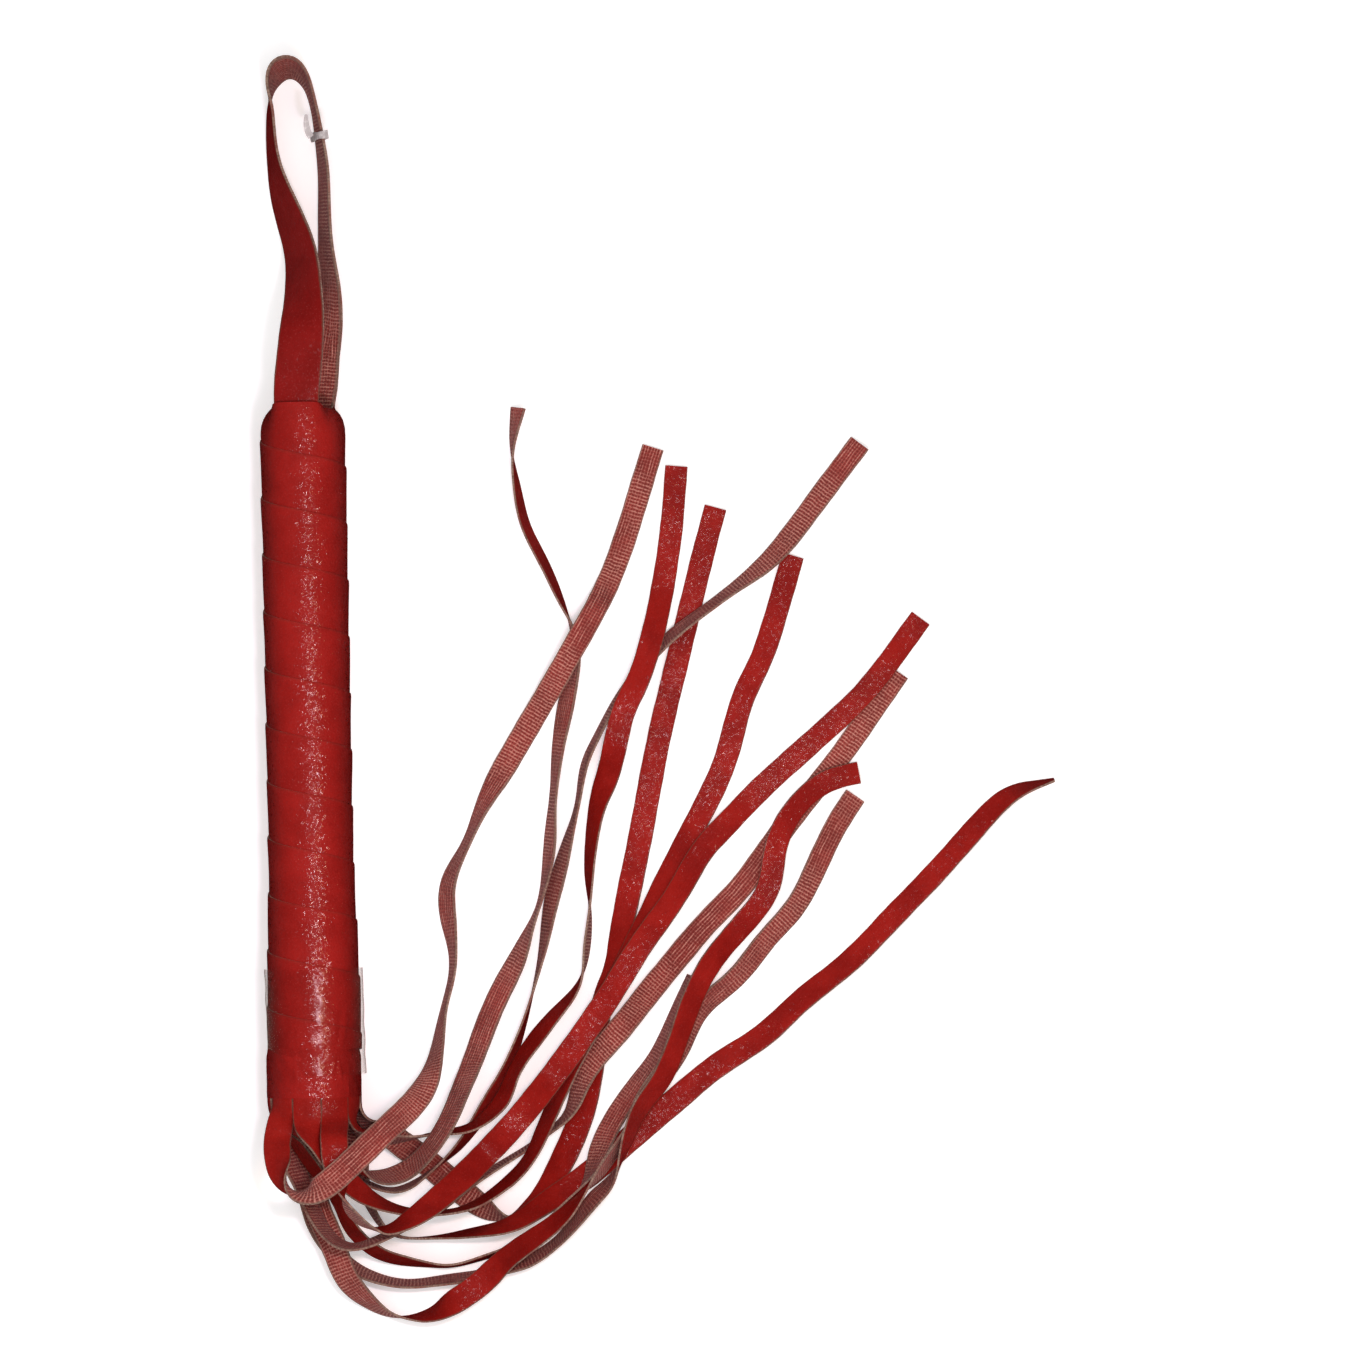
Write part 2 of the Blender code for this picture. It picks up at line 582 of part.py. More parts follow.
def loop_heights(samples):
    """The loop rests on its edge on the table and climbs to where its legs leave the handle."""
    roll = np.radians(samples[:, 2])
    rest = TABLE_Z + 0.4 + STRAP_WIDTH / 2 * np.abs(np.sin(roll)) \
        + STRAP_LEATHER / 2 * np.abs(np.cos(roll))
    share = np.clip((samples[:, 1] - LOOP_LINE[0][1]) / 42.0, 0.0, 1.0)
    share = share * share * (3 - 2 * share)
    far = int(np.argmax(samples[:, 1]))
    held = np.where(np.arange(len(samples)) < far, *LOOP_END_HEIGHTS)
    return held + (rest - held) * share


def make_loop(materials, collection):
    samples = smooth_line(LOOP_LINE, 1.0, 2.5)
    heights = loop_heights(samples)
    widths = np.full(len(samples), STRAP_WIDTH / 2)
    at = np.linspace(0, len(samples) - 1, 56).round().astype(int)
    rings = strip_rings(samples[at], heights[at], widths[at], STRAP_LEATHER)
    loop = finish_mesh("wrist_loop", loft(rings), materials["strap"], collection)
    set_origin(loop, (0, LOOP_PIVOT_Y, 0))
    return samples, heights


def make_tag(samples, heights, materials, collection):
    """A thin clear wire ring that holds a tag on the loop's back leg."""
    at = int(TAG_ALONG * len(samples))
    centres, across, normal = sections(samples, heights, np.ones(len(samples)))
    centre, across, normal = Vector(centres[at]), Vector(across[at]), Vector(normal[at])
    along = across.cross(normal)
    half_width = STRAP_WIDTH / 2 + TAG_CLEARANCE + TAG_WIRE
    half_depth = STRAP_LEATHER / 2 + TAG_CLEARANCE + TAG_WIRE
    rings = []
    for k in range(24):
        turn = 2 * math.pi * k / 24
        c, s = math.cos(turn), math.sin(turn)
        # a superellipse keeps the ring clear of the strap's corners
        point = centre + across * half_width * math.copysign(abs(c) ** 0.4, c) \
            + normal * half_depth * math.copysign(abs(s) ** 0.4, s)
        outward = (across * c + normal * s).normalized()
        rings.append([point + (outward * math.cos(a) + along * math.sin(a)) * TAG_WIRE
                      for a in np.linspace(0, 2 * math.pi, 6, endpoint=False)])
    tag = finish_mesh("tag_band", loft(rings, closed=True), materials["film"], collection)
    set_origin(tag, centre)
    return centre, along


# ---------------------------------------------------------------- tacks and their holes

def radial_matrix(y, angle):
    """Local +Z points out of the handle at this angle."""
    outward = around(1.0, 0.0, angle)
    turn = outward.to_track_quat('Z', 'Y').to_matrix().to_4x4()
    return Matrix.Translation(Vector((0, y, 0))) @ turn


def add_rod(bm, matrix, low, high, radius_low, radius_high, segments=12):
    move = matrix @ Matrix.Translation(Vector((0, 0, (low + high) / 2)))
    bmesh.ops.create_cone(bm, cap_ends=True, cap_tris=False, segments=segments,
                          radius1=radius_low, radius2=radius_high, depth=high - low, matrix=move)


def make_tack(name, y, angle, materials, collection):
    """A flat-headed tack, its head flush in the leather and its shank in the core."""
    matrix = radial_matrix(y, angle)
    neck = TACK_HEAD_TOP - TACK_HEAD_THICKNESS
    point = neck - TACK_LENGTH
    profile = [(0.05, point), (TACK_SHANK_RADIUS, point + 1.5), (TACK_SHANK_RADIUS, neck),
               (TACK_HEAD_RADIUS, neck), (TACK_HEAD_RADIUS, TACK_HEAD_TOP)]
    rings = []
    for radius, height in profile:
        rings.append([matrix @ Vector((radius * math.cos(a), radius * math.sin(a), height))
                      for a in np.linspace(0, 2 * math.pi, 12, endpoint=False)])
    return finish_mesh(name, loft(rings), materials["steel"], collection)


def cut(obj, name, y, angle, low, high, radius, cutters):
    bm = bmesh.new()
    add_rod(bm, radial_matrix(y, angle), low, high, radius, radius)
    cutter = finish_mesh(name, bm, obj.data.materials[0], cutters)
    cutter.hide_render = True
    cutter.display_type = 'WIRE'
    boolean = obj.modifiers.new(name, 'BOOLEAN')
    boolean.operation = 'DIFFERENCE'
    boolean.solver = 'EXACT'
    boolean.object = cutter


def add_tack(name, y, angle, leather, core, materials, collection, cutters):
    make_tack(name, y, angle, materials, collection)
    cut(leather, name + "_leather_hole", y, angle, 7.0, 14.0, LEATHER_HOLE_RADIUS, cutters)
    deep = TACK_HEAD_TOP - TACK_HEAD_THICKNESS - TACK_LENGTH - GAP
    cut(core, name + "_core_hole", y, angle, deep, 14.0, TACK_HOLE_RADIUS, cutters)


# ---------------------------------------------------------------- the whole object

def build():
    clear_scene()
    parts = make_collection(COLLECTION)
    cutters = make_collection(CUTTER_COLLECTION)
    materials = {
        "leather": make_material("leatherette_smooth", "leatherette", 0.35),
        "tail": make_material("tail_leatherette", "leatherette_back", 0.5),
        "strap": make_material("strap_leatherette", "leatherette", 0.4),
        "wood": make_material("dowel_wood", "wood", 0.7),
        "steel": make_material("tack_steel", "steel", 0.35, 1.0),
        "film": make_material("clear_film", "clear_film", 0.15),
    }
    core = make_core(materials, parts)
    make_cap(materials, parts)
    make_wrap(materials, parts)
    band = make_band(materials, parts)
    make_tape(materials, parts)
    front = make_stub("strap_tuck_front", STUB_FRONT_DEG, 1, materials, parts)
    back = make_stub("strap_tuck_back", STUB_BACK_DEG, -1, materials, parts)
    samples, heights = make_loop(materials, parts)
    make_tag(samples, heights, materials, parts)
    make_tails(materials, parts)
    for name, angle in BAND_TACK_ANGLES.items():
        add_tack(name, BAND_TACKS_Y, angle, band, core, materials, parts, cutters)
    add_tack("strap_tack_front", STRAP_TACKS_Y, STUB_FRONT_DEG, front, core, materials, parts, cutters)
    add_tack("strap_tack_back", STRAP_TACKS_Y, STUB_BACK_DEG, back, core, materials, parts, cutters)


build()
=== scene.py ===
"""The looks of the strap whip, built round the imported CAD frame.

Every strap is rebuilt as a fine ribbon along the strip that its CAD node holds: leatherette on its
smooth face, woven backing on the other, and a cut edge between them. Units are metres; lengths
given in millimetres are multiplied by MM.
"""

import math

import bpy
import numpy as np
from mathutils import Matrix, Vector


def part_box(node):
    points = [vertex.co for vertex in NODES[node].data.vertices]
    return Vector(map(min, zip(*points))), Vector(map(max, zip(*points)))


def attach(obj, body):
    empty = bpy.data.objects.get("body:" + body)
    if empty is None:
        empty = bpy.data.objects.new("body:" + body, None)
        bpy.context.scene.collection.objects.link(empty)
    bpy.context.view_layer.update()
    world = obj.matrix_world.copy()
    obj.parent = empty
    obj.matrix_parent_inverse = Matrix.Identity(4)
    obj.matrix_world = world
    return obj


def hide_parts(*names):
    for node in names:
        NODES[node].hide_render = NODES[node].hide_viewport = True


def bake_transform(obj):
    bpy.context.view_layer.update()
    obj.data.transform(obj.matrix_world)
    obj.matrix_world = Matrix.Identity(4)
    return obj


MM = 0.001
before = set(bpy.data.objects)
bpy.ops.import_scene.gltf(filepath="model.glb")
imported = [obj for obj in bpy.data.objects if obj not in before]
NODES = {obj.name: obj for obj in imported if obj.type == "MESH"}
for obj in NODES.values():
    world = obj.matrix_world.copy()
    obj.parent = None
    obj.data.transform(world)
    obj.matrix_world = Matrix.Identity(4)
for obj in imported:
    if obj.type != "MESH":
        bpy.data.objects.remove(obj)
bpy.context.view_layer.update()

TAILS = [f"tail_{number:02d}" for number in range(1, 13)]
TAIL_CAD_THICKNESS, WRAP_CAD_THICKNESS, STRAP_CAD_THICKNESS = 0.8 * MM, 0.75 * MM, 1.0 * MM
MOUTH_Y = -178.6 * MM           # where the tails leave the handle
LEATHER = 0.72 * MM             # thickness of a tail and of the rolled sheet
FEATHER = 0.06 * MM             # how far a tail's root lies inside the sheet's outer face
SLIT = 0.08 * MM                # gap between two tails at their roots
TAIL_WIDTH = 7.2 * MM           # least width of a tail at its root
TAIL_TAPER = 0.19               # share of that width lost towards the tip
FIRST_TAIL_FLAT = (14.0 * MM, 24.0 * MM)
ROOT_START_DEG, ROOT_PITCH_DEG = -45.0, 35.5
SHEET_RADIUS, SHEET_INNER_RADIUS = 12.7 * MM, 11.8 * MM
SHEET_FREE_EDGE_DEG, SHEET_HIDDEN_EDGE_DEG = 44.5, -428.0
SHEET_DIVE_DEG, SHEET_DIVE_SPAN_DEG = -115.0, 185.0
SHEET_TOP_MM, SHEET_END_MM = -160.0, -179.3
SHEET_MM_PER_DEG = 0.22
WRAP_END = -167.2 * MM
WRAP_VISIBLE_MM = 0.40          # thickness of the wrap
STRAP_HOLD_RADIUS = 9.2 * MM    # from the handle's axis to the wrist strap's tucked ends
TAG_WIRE_RADIUS = 0.45 * MM
FILM_INSET = 0.80 * MM          # from the side of the film's CAD box to its mean radius
PATTERN_SEED = 40.0
WORN_RIM = (0.115, 0.05, 0.036)
FRAYED_RIM = (0.20, 0.125, 0.095)
DUST = (0.36, 0.27, 0.24)


# ---------------------------------------------------------------- shader graphs

class Graph:
    """Builds a material's node tree from short calls that return sockets."""

    def __init__(self, name):
        self.material = bpy.data.materials.new(name)
        self.material.use_nodes = True
        self.tree = self.material.node_tree
        self.shader = self.tree.nodes["Principled BSDF"]
        self.output = self.tree.nodes["Material Output"]

    def node(self, kind, **settings):
        node = self.tree.nodes.new("ShaderNode" + kind)
        for key, value in settings.items():
            setattr(node, key, value)
        return node

    def feed(self, socket, value):
        if isinstance(value, bpy.types.NodeSocket):
            self.tree.links.new(value, socket)
        elif isinstance(value, (tuple, list)) and len(value) == 3 and socket.type == 'RGBA':
            socket.default_value = (*value, 1.0)
        else:
            socket.default_value = value

    def math(self, operation, a, b=0.0, c=0.0, clamp=False):
        node = self.node("Math", operation=operation, use_clamp=clamp)
        for socket, value in zip(node.inputs, (a, b, c)):
            self.feed(socket, value)
        return node.outputs[0]

    def mix(self, factor, a, b):
        node = self.node("Mix", data_type='RGBA')
        self.feed(node.inputs[0], factor)
        self.feed(node.inputs[6], a)
        self.feed(node.inputs[7], b)
        return node.outputs[2]

    def blend(self, factor, a, b):
        node = self.node("Mix", data_type='FLOAT')
        self.feed(node.inputs[0], factor)
        self.feed(node.inputs[2], a)
        self.feed(node.inputs[3], b)
        return node.outputs[0]

    def step(self, value, low, high):
        """0 at low, 1 at high, smooth between."""
        node = self.node("MapRange", interpolation_type='SMOOTHSTEP')
        self.feed(node.inputs[0], value)
        self.feed(node.inputs[1], low)
        self.feed(node.inputs[2], high)
        return node.outputs[0]

    def split(self, vector):
        node = self.node("SeparateXYZ")
        self.feed(node.inputs[0], vector)
        return node.outputs

    def join(self, x, y, z=0.0):
        node = self.node("CombineXYZ")
        for socket, value in zip(node.inputs, (x, y, z)):
            self.feed(socket, value)
        return node.outputs[0]

    def attribute(self, name, output="Vector"):
        return self.node("Attribute", attribute_name=name).outputs[output]

    def noise(self, vector, scale, detail=3.0, roughness=0.5, distortion=0.0):
        node = self.node("TexNoise")
        self.feed(node.inputs["Vector"], vector)
        node.inputs["Scale"].default_value = scale
        node.inputs["Detail"].default_value = detail
        node.inputs["Roughness"].default_value = roughness
        node.inputs["Distortion"].default_value = distortion
        return node.outputs["Fac"]

    def cells(self, vector, scale, feature='F1', randomness=1.0):
        node = self.node("TexVoronoi", feature=feature)
        self.feed(node.inputs["Vector"], vector)
        node.inputs["Scale"].default_value = scale
        node.inputs["Randomness"].default_value = randomness
        return node.outputs["Distance"]

    def facets(self, vector, scale):
        """The height of small flat facets, 1 / scale wide, that each tilt their own way."""
        node = self.node("TexVoronoi", voronoi_dimensions='2D')
        self.feed(node.inputs["Vector"], vector)
        node.inputs["Scale"].default_value = scale
        height = 0.0
        parts = zip(self.split(vector), self.split(node.outputs["Position"]),
                    self.split(node.outputs["Color"]))
        for place, centre, chance in list(parts)[:2]:
            tilt = self.math('SUBTRACT', chance, 0.5)
            tilt = self.math('MULTIPLY', tilt, self.math('ABSOLUTE', tilt))
            offset = self.math('SUBTRACT', place, centre)
            height = self.math('MULTIPLY_ADD', offset, tilt, height)
        return height

    def wave(self, value, period):
        """A cosine of value, 0 to 1, that repeats every period."""
        turns = self.math('MULTIPLY', value, 2 * math.pi / period)
        return self.math('MULTIPLY_ADD', self.math('COSINE', turns), 0.5, 0.5)

    def bump(self, height, distance, strength=1.0, normal=None):
        node = self.node("Bump")
        self.feed(node.inputs["Height"], height)
        node.inputs["Distance"].default_value = distance
        node.inputs["Strength"].default_value = strength
        if normal is not None:
            self.feed(node.inputs["Normal"], normal)
        return node.outputs[0]

    def dim(self, colour, depth):
        """The colour, darkened by depth where the surface turns away from the eye: painted shade on
        the sides, not the material's own colour.
        """
        layer = self.node("LayerWeight")
        layer.inputs["Blend"].default_value = 0.5
        away = self.step(layer.outputs["Facing"], 0.03, 0.62)
        return self.mix(self.math('MULTIPLY', away, depth), colour, (0.0, 0.0, 0.0))

    def set(self, **inputs):
        for key, value in inputs.items():
            self.feed(self.shader.inputs[key.replace("_", " ")], value)


def strip_coordinates(graph):
    """Along and across the strip, in millimetres, the strip's own seed, and -1 to 1 across it."""
    along, across, seed = graph.split(graph.attribute("strip"))
    return along, across, seed, graph.attribute("side", "Fac")


def smooth_leatherette(name, deep, light, roughness, gloss, rim=1.0, shade=0.25):
    """Glossy red leatherette with a fine pebbled grain, faint mottling and worn, darker rims, pale
    flecks that are partly the grain's own and partly painted glints, and painted shade where it
    turns from the eye.
    """
    g = Graph(name)
    along, across, seed, side = strip_coordinates(g)
    place = g.join(along, across, seed)
    cloud = g.noise(place, 0.09, 4.0, 0.6)
    mottle = g.noise(place, 0.8, 5.0, 0.65)
    pebbles = g.cells(place, 1.3)
    fine = g.noise(place, 2.6, 3.0, 0.6)
    colour = g.mix(g.step(cloud, 0.32, 0.68), deep, light)
    dark = tuple(c * 0.78 for c in deep)
    colour = g.mix(g.math('MULTIPLY', g.step(mottle, 0.5, 0.75), 0.4), colour, dark)
    # pale flecks: partly the grain's own lighter flecks, partly painted glints of the pebbled grain
    flecks_and_glints = tuple(min(1.0, c * 1.3 + 0.03) for c in light)
    colour = g.mix(g.math('MULTIPLY', g.step(fine, 0.58, 0.72), 0.6), colour, flecks_and_glints)
    ragged = g.math('MULTIPLY_ADD', g.noise(place, 1.6, 3.0), 0.10, g.math('ABSOLUTE', side))
    worn = g.math('MULTIPLY', g.step(ragged, 0.955, 1.035), 0.8 * rim)
    colour = g.mix(worn, colour, WORN_RIM)
    height = g.math('MULTIPLY_ADD', pebbles, -0.7, fine)
    wide = g.noise(place, 0.35, 2.0)
    normal = g.bump(wide, 0.0006, 0.25, g.bump(height, 0.00007))
    # painted shade: the base colour darkens by shade where the surface turns from the eye
    g.set(Base_Color=g.dim(colour, shade))
    g.set(Roughness=g.math('MULTIPLY_ADD', fine, 0.2, roughness - 0.1))
    g.set(Normal=normal, Coat_Normal=g.bump(g.facets(place, 1.45), 0.0010, 1.0, normal))
    glint = g.step(g.math('MULTIPLY_ADD', g.noise(place, 1.0, 2.0, 0.6), 1.0,
                          g.math('MULTIPLY', pebbles, -0.25)), 0.34, 0.50)
    g.set(Coat_Weight=g.math('MULTIPLY_ADD', glint, 0.75 * gloss, 0.25 * gloss))
    g.set(Coat_Roughness=0.13, Specular_IOR_Level=0.04)
    return g.material


def scrim_threads(g, along, across, seed, place):
    """The warp and the weft as waves, and how strongly a pale thread shows at each place."""
    wander = g.math('MULTIPLY_ADD', g.noise(g.join(g.math('MULTIPLY', along, 0.3), across, seed),
                                            0.5, 2.0), 0.9, -0.45)
    warp = g.wave(g.math('ADD', across, wander), 0.78)
    weft = g.wave(g.math('ADD', along, g.math('MULTIPLY', wander, 0.8)), 0.92)
    wide = g.join(g.math('MULTIPLY', along, 0.05), g.math('MULTIPLY', across, 0.05), seed)
    ladder = g.step(g.noise(wide, 1.0, 1.0), 0.40, 0.60)
    streak = g.step(g.noise(g.join(g.math('MULTIPLY', along, 0.10), across, seed), 1.7, 2.0),
                    0.40, 0.66)
    lines = g.math('MULTIPLY', g.math('POWER', warp, 2.4),
                   g.math('MULTIPLY_ADD', streak, 1.1, 0.15))
    lines = g.math('MULTIPLY', lines, g.math('MULTIPLY_ADD', ladder, -0.55, 1.0))
    ribs = g.math('MULTIPLY', g.math('POWER', weft, 2.0),
                  g.math('MULTIPLY_ADD', ladder, 0.90, 0.12))
    broken = g.step(g.noise(place, 1.5, 3.0, 0.6), 0.30, 0.60)
    return warp, weft, g.math('MULTIPLY', g.math('MAXIMUM', lines, ribs), broken)


def woven_backing(name, ground, thread):
    """The scrim on the leatherette's back: a net of pale threads over a dull pink-red ground, with
    a little painted shade where it turns from the eye.
    """
    g = Graph(name)
    along, across, seed, side = strip_coordinates(g)
    place = g.join(along, across, seed)
    warp, weft, threads = scrim_threads(g, along, across, seed, place)
    cloud = g.noise(place, 0.12, 4.0, 0.6)
    colour = g.mix(g.step(cloud, 0.3, 0.7), ground, tuple(c * 0.62 for c in ground))
    gaps = g.step(g.math('ADD', warp, weft), 0.75, 0.25)
    colour = g.mix(g.math('MULTIPLY', gaps, 0.45), colour, tuple(c * 0.4 for c in ground))
    colour = g.mix(g.math('MULTIPLY', threads, 0.85), colour, thread)
    knots = g.step(g.math('MULTIPLY', warp, weft), 0.72, 1.0)
    colour = g.mix(g.math('MULTIPLY', knots, 0.30), colour,
                   tuple(min(1.0, c * 1.3 + 0.05) for c in thread))
    dust = g.noise(place, 3.5, 4.0, 0.7)
    colour = g.mix(g.math('MULTIPLY', g.step(dust, 0.55, 0.78), 0.30), colour, DUST)
    ragged = g.math('MULTIPLY_ADD', g.noise(place, 1.3, 3.0), 0.16, g.math('ABSOLUTE', side))
    colour = g.mix(g.math('MULTIPLY', g.step(ragged, 0.90, 1.03), 0.75), colour, FRAYED_RIM)
    height = g.math('ADD', g.math('MAXIMUM', g.math('MULTIPLY', warp, 0.9), weft),
                    g.math('MULTIPLY', dust, 0.6))
    # painted shade, lightly: the base colour darkens where the scrim turns from the eye
    g.set(Base_Color=g.dim(colour, 0.12), Roughness=g.math('MULTIPLY_ADD', dust, 0.2, 0.6))
    g.set(Normal=g.bump(height, 0.00022, 0.9))
    g.set(Sheen_Weight=0.08, Sheen_Roughness=0.5, Specular_IOR_Level=0.15)
    return g.material


def cut_edge(name):
    """The sawn-looking rim of cut leatherette: a grey-brown backing under a thin red skin."""
    g = Graph(name)
    along, across, seed, _ = strip_coordinates(g)
    fibres = g.noise(g.join(g.math('MULTIPLY', along, 2.0), g.math('MULTIPLY', across, 4.0), seed),
                     1.2, 5.0, 0.7)
    stain = g.noise(g.join(along, across, seed), 0.25, 2.0)
    colour = g.mix(g.step(fibres, 0.35, 0.7), (0.13, 0.07, 0.052), (0.34, 0.225, 0.175))
    colour = g.mix(g.math('MULTIPLY', g.step(stain, 0.45, 0.7), 0.55), colour, (0.17, 0.03, 0.022))
    g.set(Base_Color=colour, Roughness=0.82, Specular_IOR_Level=0.25)
    g.set(Normal=g.bump(fibres, 0.00015, 0.7))
    return g.material


def clear_film(name, tint, opacity, roughness):
    """Clear film: see-through face on, and a grey shine at grazing angles."""
    g = Graph(name)
    coords = g.node("TexCoord").outputs["Object"]
    ripple = g.noise(coords, 130.0, 3.0, 0.55, 0.6)
    fold = g.noise(coords, 420.0, 3.0, 0.6)
    normal = g.bump(ripple, 0.0011, 0.5, g.bump(fold, 0.0002, 0.3))
    gloss = g.node("BsdfGlossy")
    g.feed(gloss.inputs["Color"], (0.95, 0.95, 0.95))
    g.feed(gloss.inputs["Roughness"], g.math('MULTIPLY_ADD', fold, 0.12, roughness))
    g.feed(gloss.inputs["Normal"], normal)
    clear = g.node("BsdfTransparent")
    g.feed(clear.inputs["Color"], tint)
    facing = g.node("LayerWeight")
    facing.inputs["Blend"].default_value = 0.5
    haze = g.node("BsdfDiffuse")
    g.feed(haze.inputs["Color"], (0.28, 0.22, 0.18))
    body = g.node("MixShader")
    g.feed(body.inputs[0], g.math('MULTIPLY', g.math('POWER', facing.outputs["Facing"], 4.0), 0.75))
    g.feed(body.inputs[1], clear.outputs[0])
    g.feed(body.inputs[2], haze.outputs[0])
    fresnel = g.math('MULTIPLY_ADD', g.math('POWER', facing.outputs["Facing"], 3.0), 0.15, opacity)
    surface = g.node("MixShader")
    g.feed(surface.inputs[0], fresnel)
    g.feed(surface.inputs[1], body.outputs[0])
    g.feed(surface.inputs[2], gloss.outputs[0])
    g.feed(g.output.inputs["Surface"], surface.outputs[0])
    return g.material


def cloudy_nylon(name):
    """Thin milky nylon, half see-through, with scuffs."""
    g = Graph(name)
    coords = g.node("TexCoord").outputs["Object"]
    scuffs = g.noise(coords, 900.0, 4.0, 0.65)
    cloud = g.noise(coords, 260.0, 2.0)
    colour = g.mix(g.step(scuffs, 0.4, 0.7), (0.50, 0.46, 0.46), (0.80, 0.78, 0.78))
    g.set(Base_Color=colour, Roughness=g.math('MULTIPLY_ADD', scuffs, 0.3, 0.2))
    g.set(Alpha=g.math('MULTIPLY_ADD', cloud, 0.5, 0.42))
    g.set(Normal=g.bump(scuffs, 0.00008, 0.5))
    return g.material


def turned_wood(name):
    """Plain wood, its grain along the handle."""
    g = Graph(name)
    coords = g.node("TexCoord").outputs["Object"]
    x, y, z = g.split(coords)
    grain = g.noise(g.join(x, g.math('MULTIPLY', y, 0.08), z), 900.0, 4.0, 0.6, 0.5)
    pores = g.noise(g.join(x, g.math('MULTIPLY', y, 0.02), z), 3000.0, 3.0, 0.7)
    colour = g.mix(g.step(grain, 0.3, 0.7), (0.42, 0.26, 0.13), (0.64, 0.45, 0.27))
    colour = g.mix(g.math('MULTIPLY', g.step(pores, 0.6, 0.75), 0.5), colour, (0.25, 0.14, 0.07))
    g.set(Base_Color=colour, Roughness=0.65, Normal=g.bump(grain, 0.0002, 0.4))
    return g.material


def tack_steel(name):
    """Scratched steel with dull brown spots."""
    g = Graph(name)
    coords = g.node("TexCoord").outputs["Object"]
    scratches = g.noise(coords, 2500.0, 4.0, 0.7)
    spots = g.noise(coords, 500.0, 3.0)
    colour = g.mix(g.step(spots, 0.45, 0.7), (0.50, 0.50, 0.52), (0.24, 0.19, 0.15))
    g.set(Base_Color=colour, Metallic=1.0, Roughness=g.math('MULTIPLY_ADD', scratches, 0.35, 0.2))
    g.set(Normal=g.bump(scratches, 0.00003, 0.5))
    return g.material


def pale_floor(name):
    """Matt white paper that glows a little, so that it stays white."""
    g = Graph(name)
    coords = g.node("TexCoord").outputs["Object"]
    paper = g.noise(coords, 800.0, 3.0)
    colour = g.mix(paper, (0.90, 0.90, 0.90), (0.93, 0.93, 0.93))
    g.set(Base_Color=colour, Roughness=0.9, Specular_IOR_Level=0.1)
    g.set(Emission_Color=(1.0, 1.0, 1.0), Emission_Strength=0.30)
    return g.material


# ---------------------------------------------------------------- strips read from the CAD nodes

def welded(node):
    """The node's corners and edges, with the corners that share a place made one."""
    mesh = NODES[node].data
    points = np.array([v.co for v in mesh.vertices])
    corners, index = np.unique(np.round(points / 1e-6).astype(int), axis=0, return_inverse=True)
    index = index.ravel()
    place = np.zeros((len(corners), 3))
    place[index] = points
    ends = np.array([(index[a], index[b]) for a, b in (e.vertices for e in mesh.edges)])
    ends = np.unique(np.sort(ends, axis=1), axis=0)
    return place, ends[ends[:, 0] != ends[:, 1]]


def ring_of_rims(place, ends, rims):
    """The rims in order round the strip, up one side from an end and down the other side.

    Rims that follow each other along one side share three edges, and the two rims of an end
    station share two.
    """
    rim_of = np.full(len(place), -1)
    rim_of[rims.ravel()] = np.repeat(np.arange(len(rims)), 2)
    shared = {}
    for a, b in np.sort(rim_of[ends], axis=1):
        if 0 <= a < b:
            shared[a, b] = shared.get((a, b), 0) + 1
    near = {k: [] for k in range(len(rims))}
    for (a, b), count in shared.items():
        if count == 3:
            near[a].append(b)
            near[b].append(a)
    walk = [0, near[0][0]]
    while len(walk) < len(rims):
        walk.append(next(k for k in near[walk[-1]] if k != walk[-2]))
    spot = {rim: k for k, rim in enumerate(walk)}
    a, b = next(pair for pair, count in shared.items() if count == 2)
    total = spot[a] + spot[b] + 1
    turn = (total + (len(walk) if total % 2 else 0)) // 2
    return [walk[(turn + k) % len(walk)] for k in range(len(walk))]


def stations_of(node, thickness, starts_near, face_out):
    """Centre, across direction and width at each station of the strip that a node holds.

    A station is two rims, each a short edge as long as the strip is thick. starts_near picks the
    first end, and face_out(centre) points out of the first face there.
    """
    place, ends = welded(node)
    length = np.linalg.norm(place[ends[:, 0]] - place[ends[:, 1]], axis=1)
    rims = ends[np.abs(length - thickness) < 0.01 * thickness]
    ring = ring_of_rims(place, ends, rims)
    middle = place[rims].mean(axis=1)
    left, right = middle[ring[:len(ring) // 2]], middle[ring[::-1][:len(ring) // 2]]
    if np.linalg.norm(left[0] - starts_near) > np.linalg.norm(left[-1] - starts_near):
        left, right = left[::-1], right[::-1]
    centre, across = (left + right) / 2, right - left
    width = np.linalg.norm(across, axis=1)
    normal = np.cross(across[1], centre[2] - centre[0])
    if np.dot(normal, face_out(centre[0])) < 0:
        across = -across
    return centre, unit(across), width


def spline(values, at):
    """A cubic B-spline through rows of values at fractional indices; it keeps both ends."""
    last = len(values) - 1
    held = np.concatenate([[2 * values[0] - values[1]], values, [2 * values[-1] - values[-2]]])
    i = np.clip(np.floor(at).astype(int), 0, last - 1)
    t = (at - i)[:, None]
    weights = ((1 - t) ** 3, 3 * t ** 3 - 6 * t ** 2 + 4,
               -3 * t ** 3 + 3 * t ** 2 + 3 * t + 1, t ** 3)
    return sum(weight * held[i + k] for k, weight in enumerate(weights)) / 6.0


def unit(rows):
    return rows / np.linalg.norm(rows, axis=1, keepdims=True)


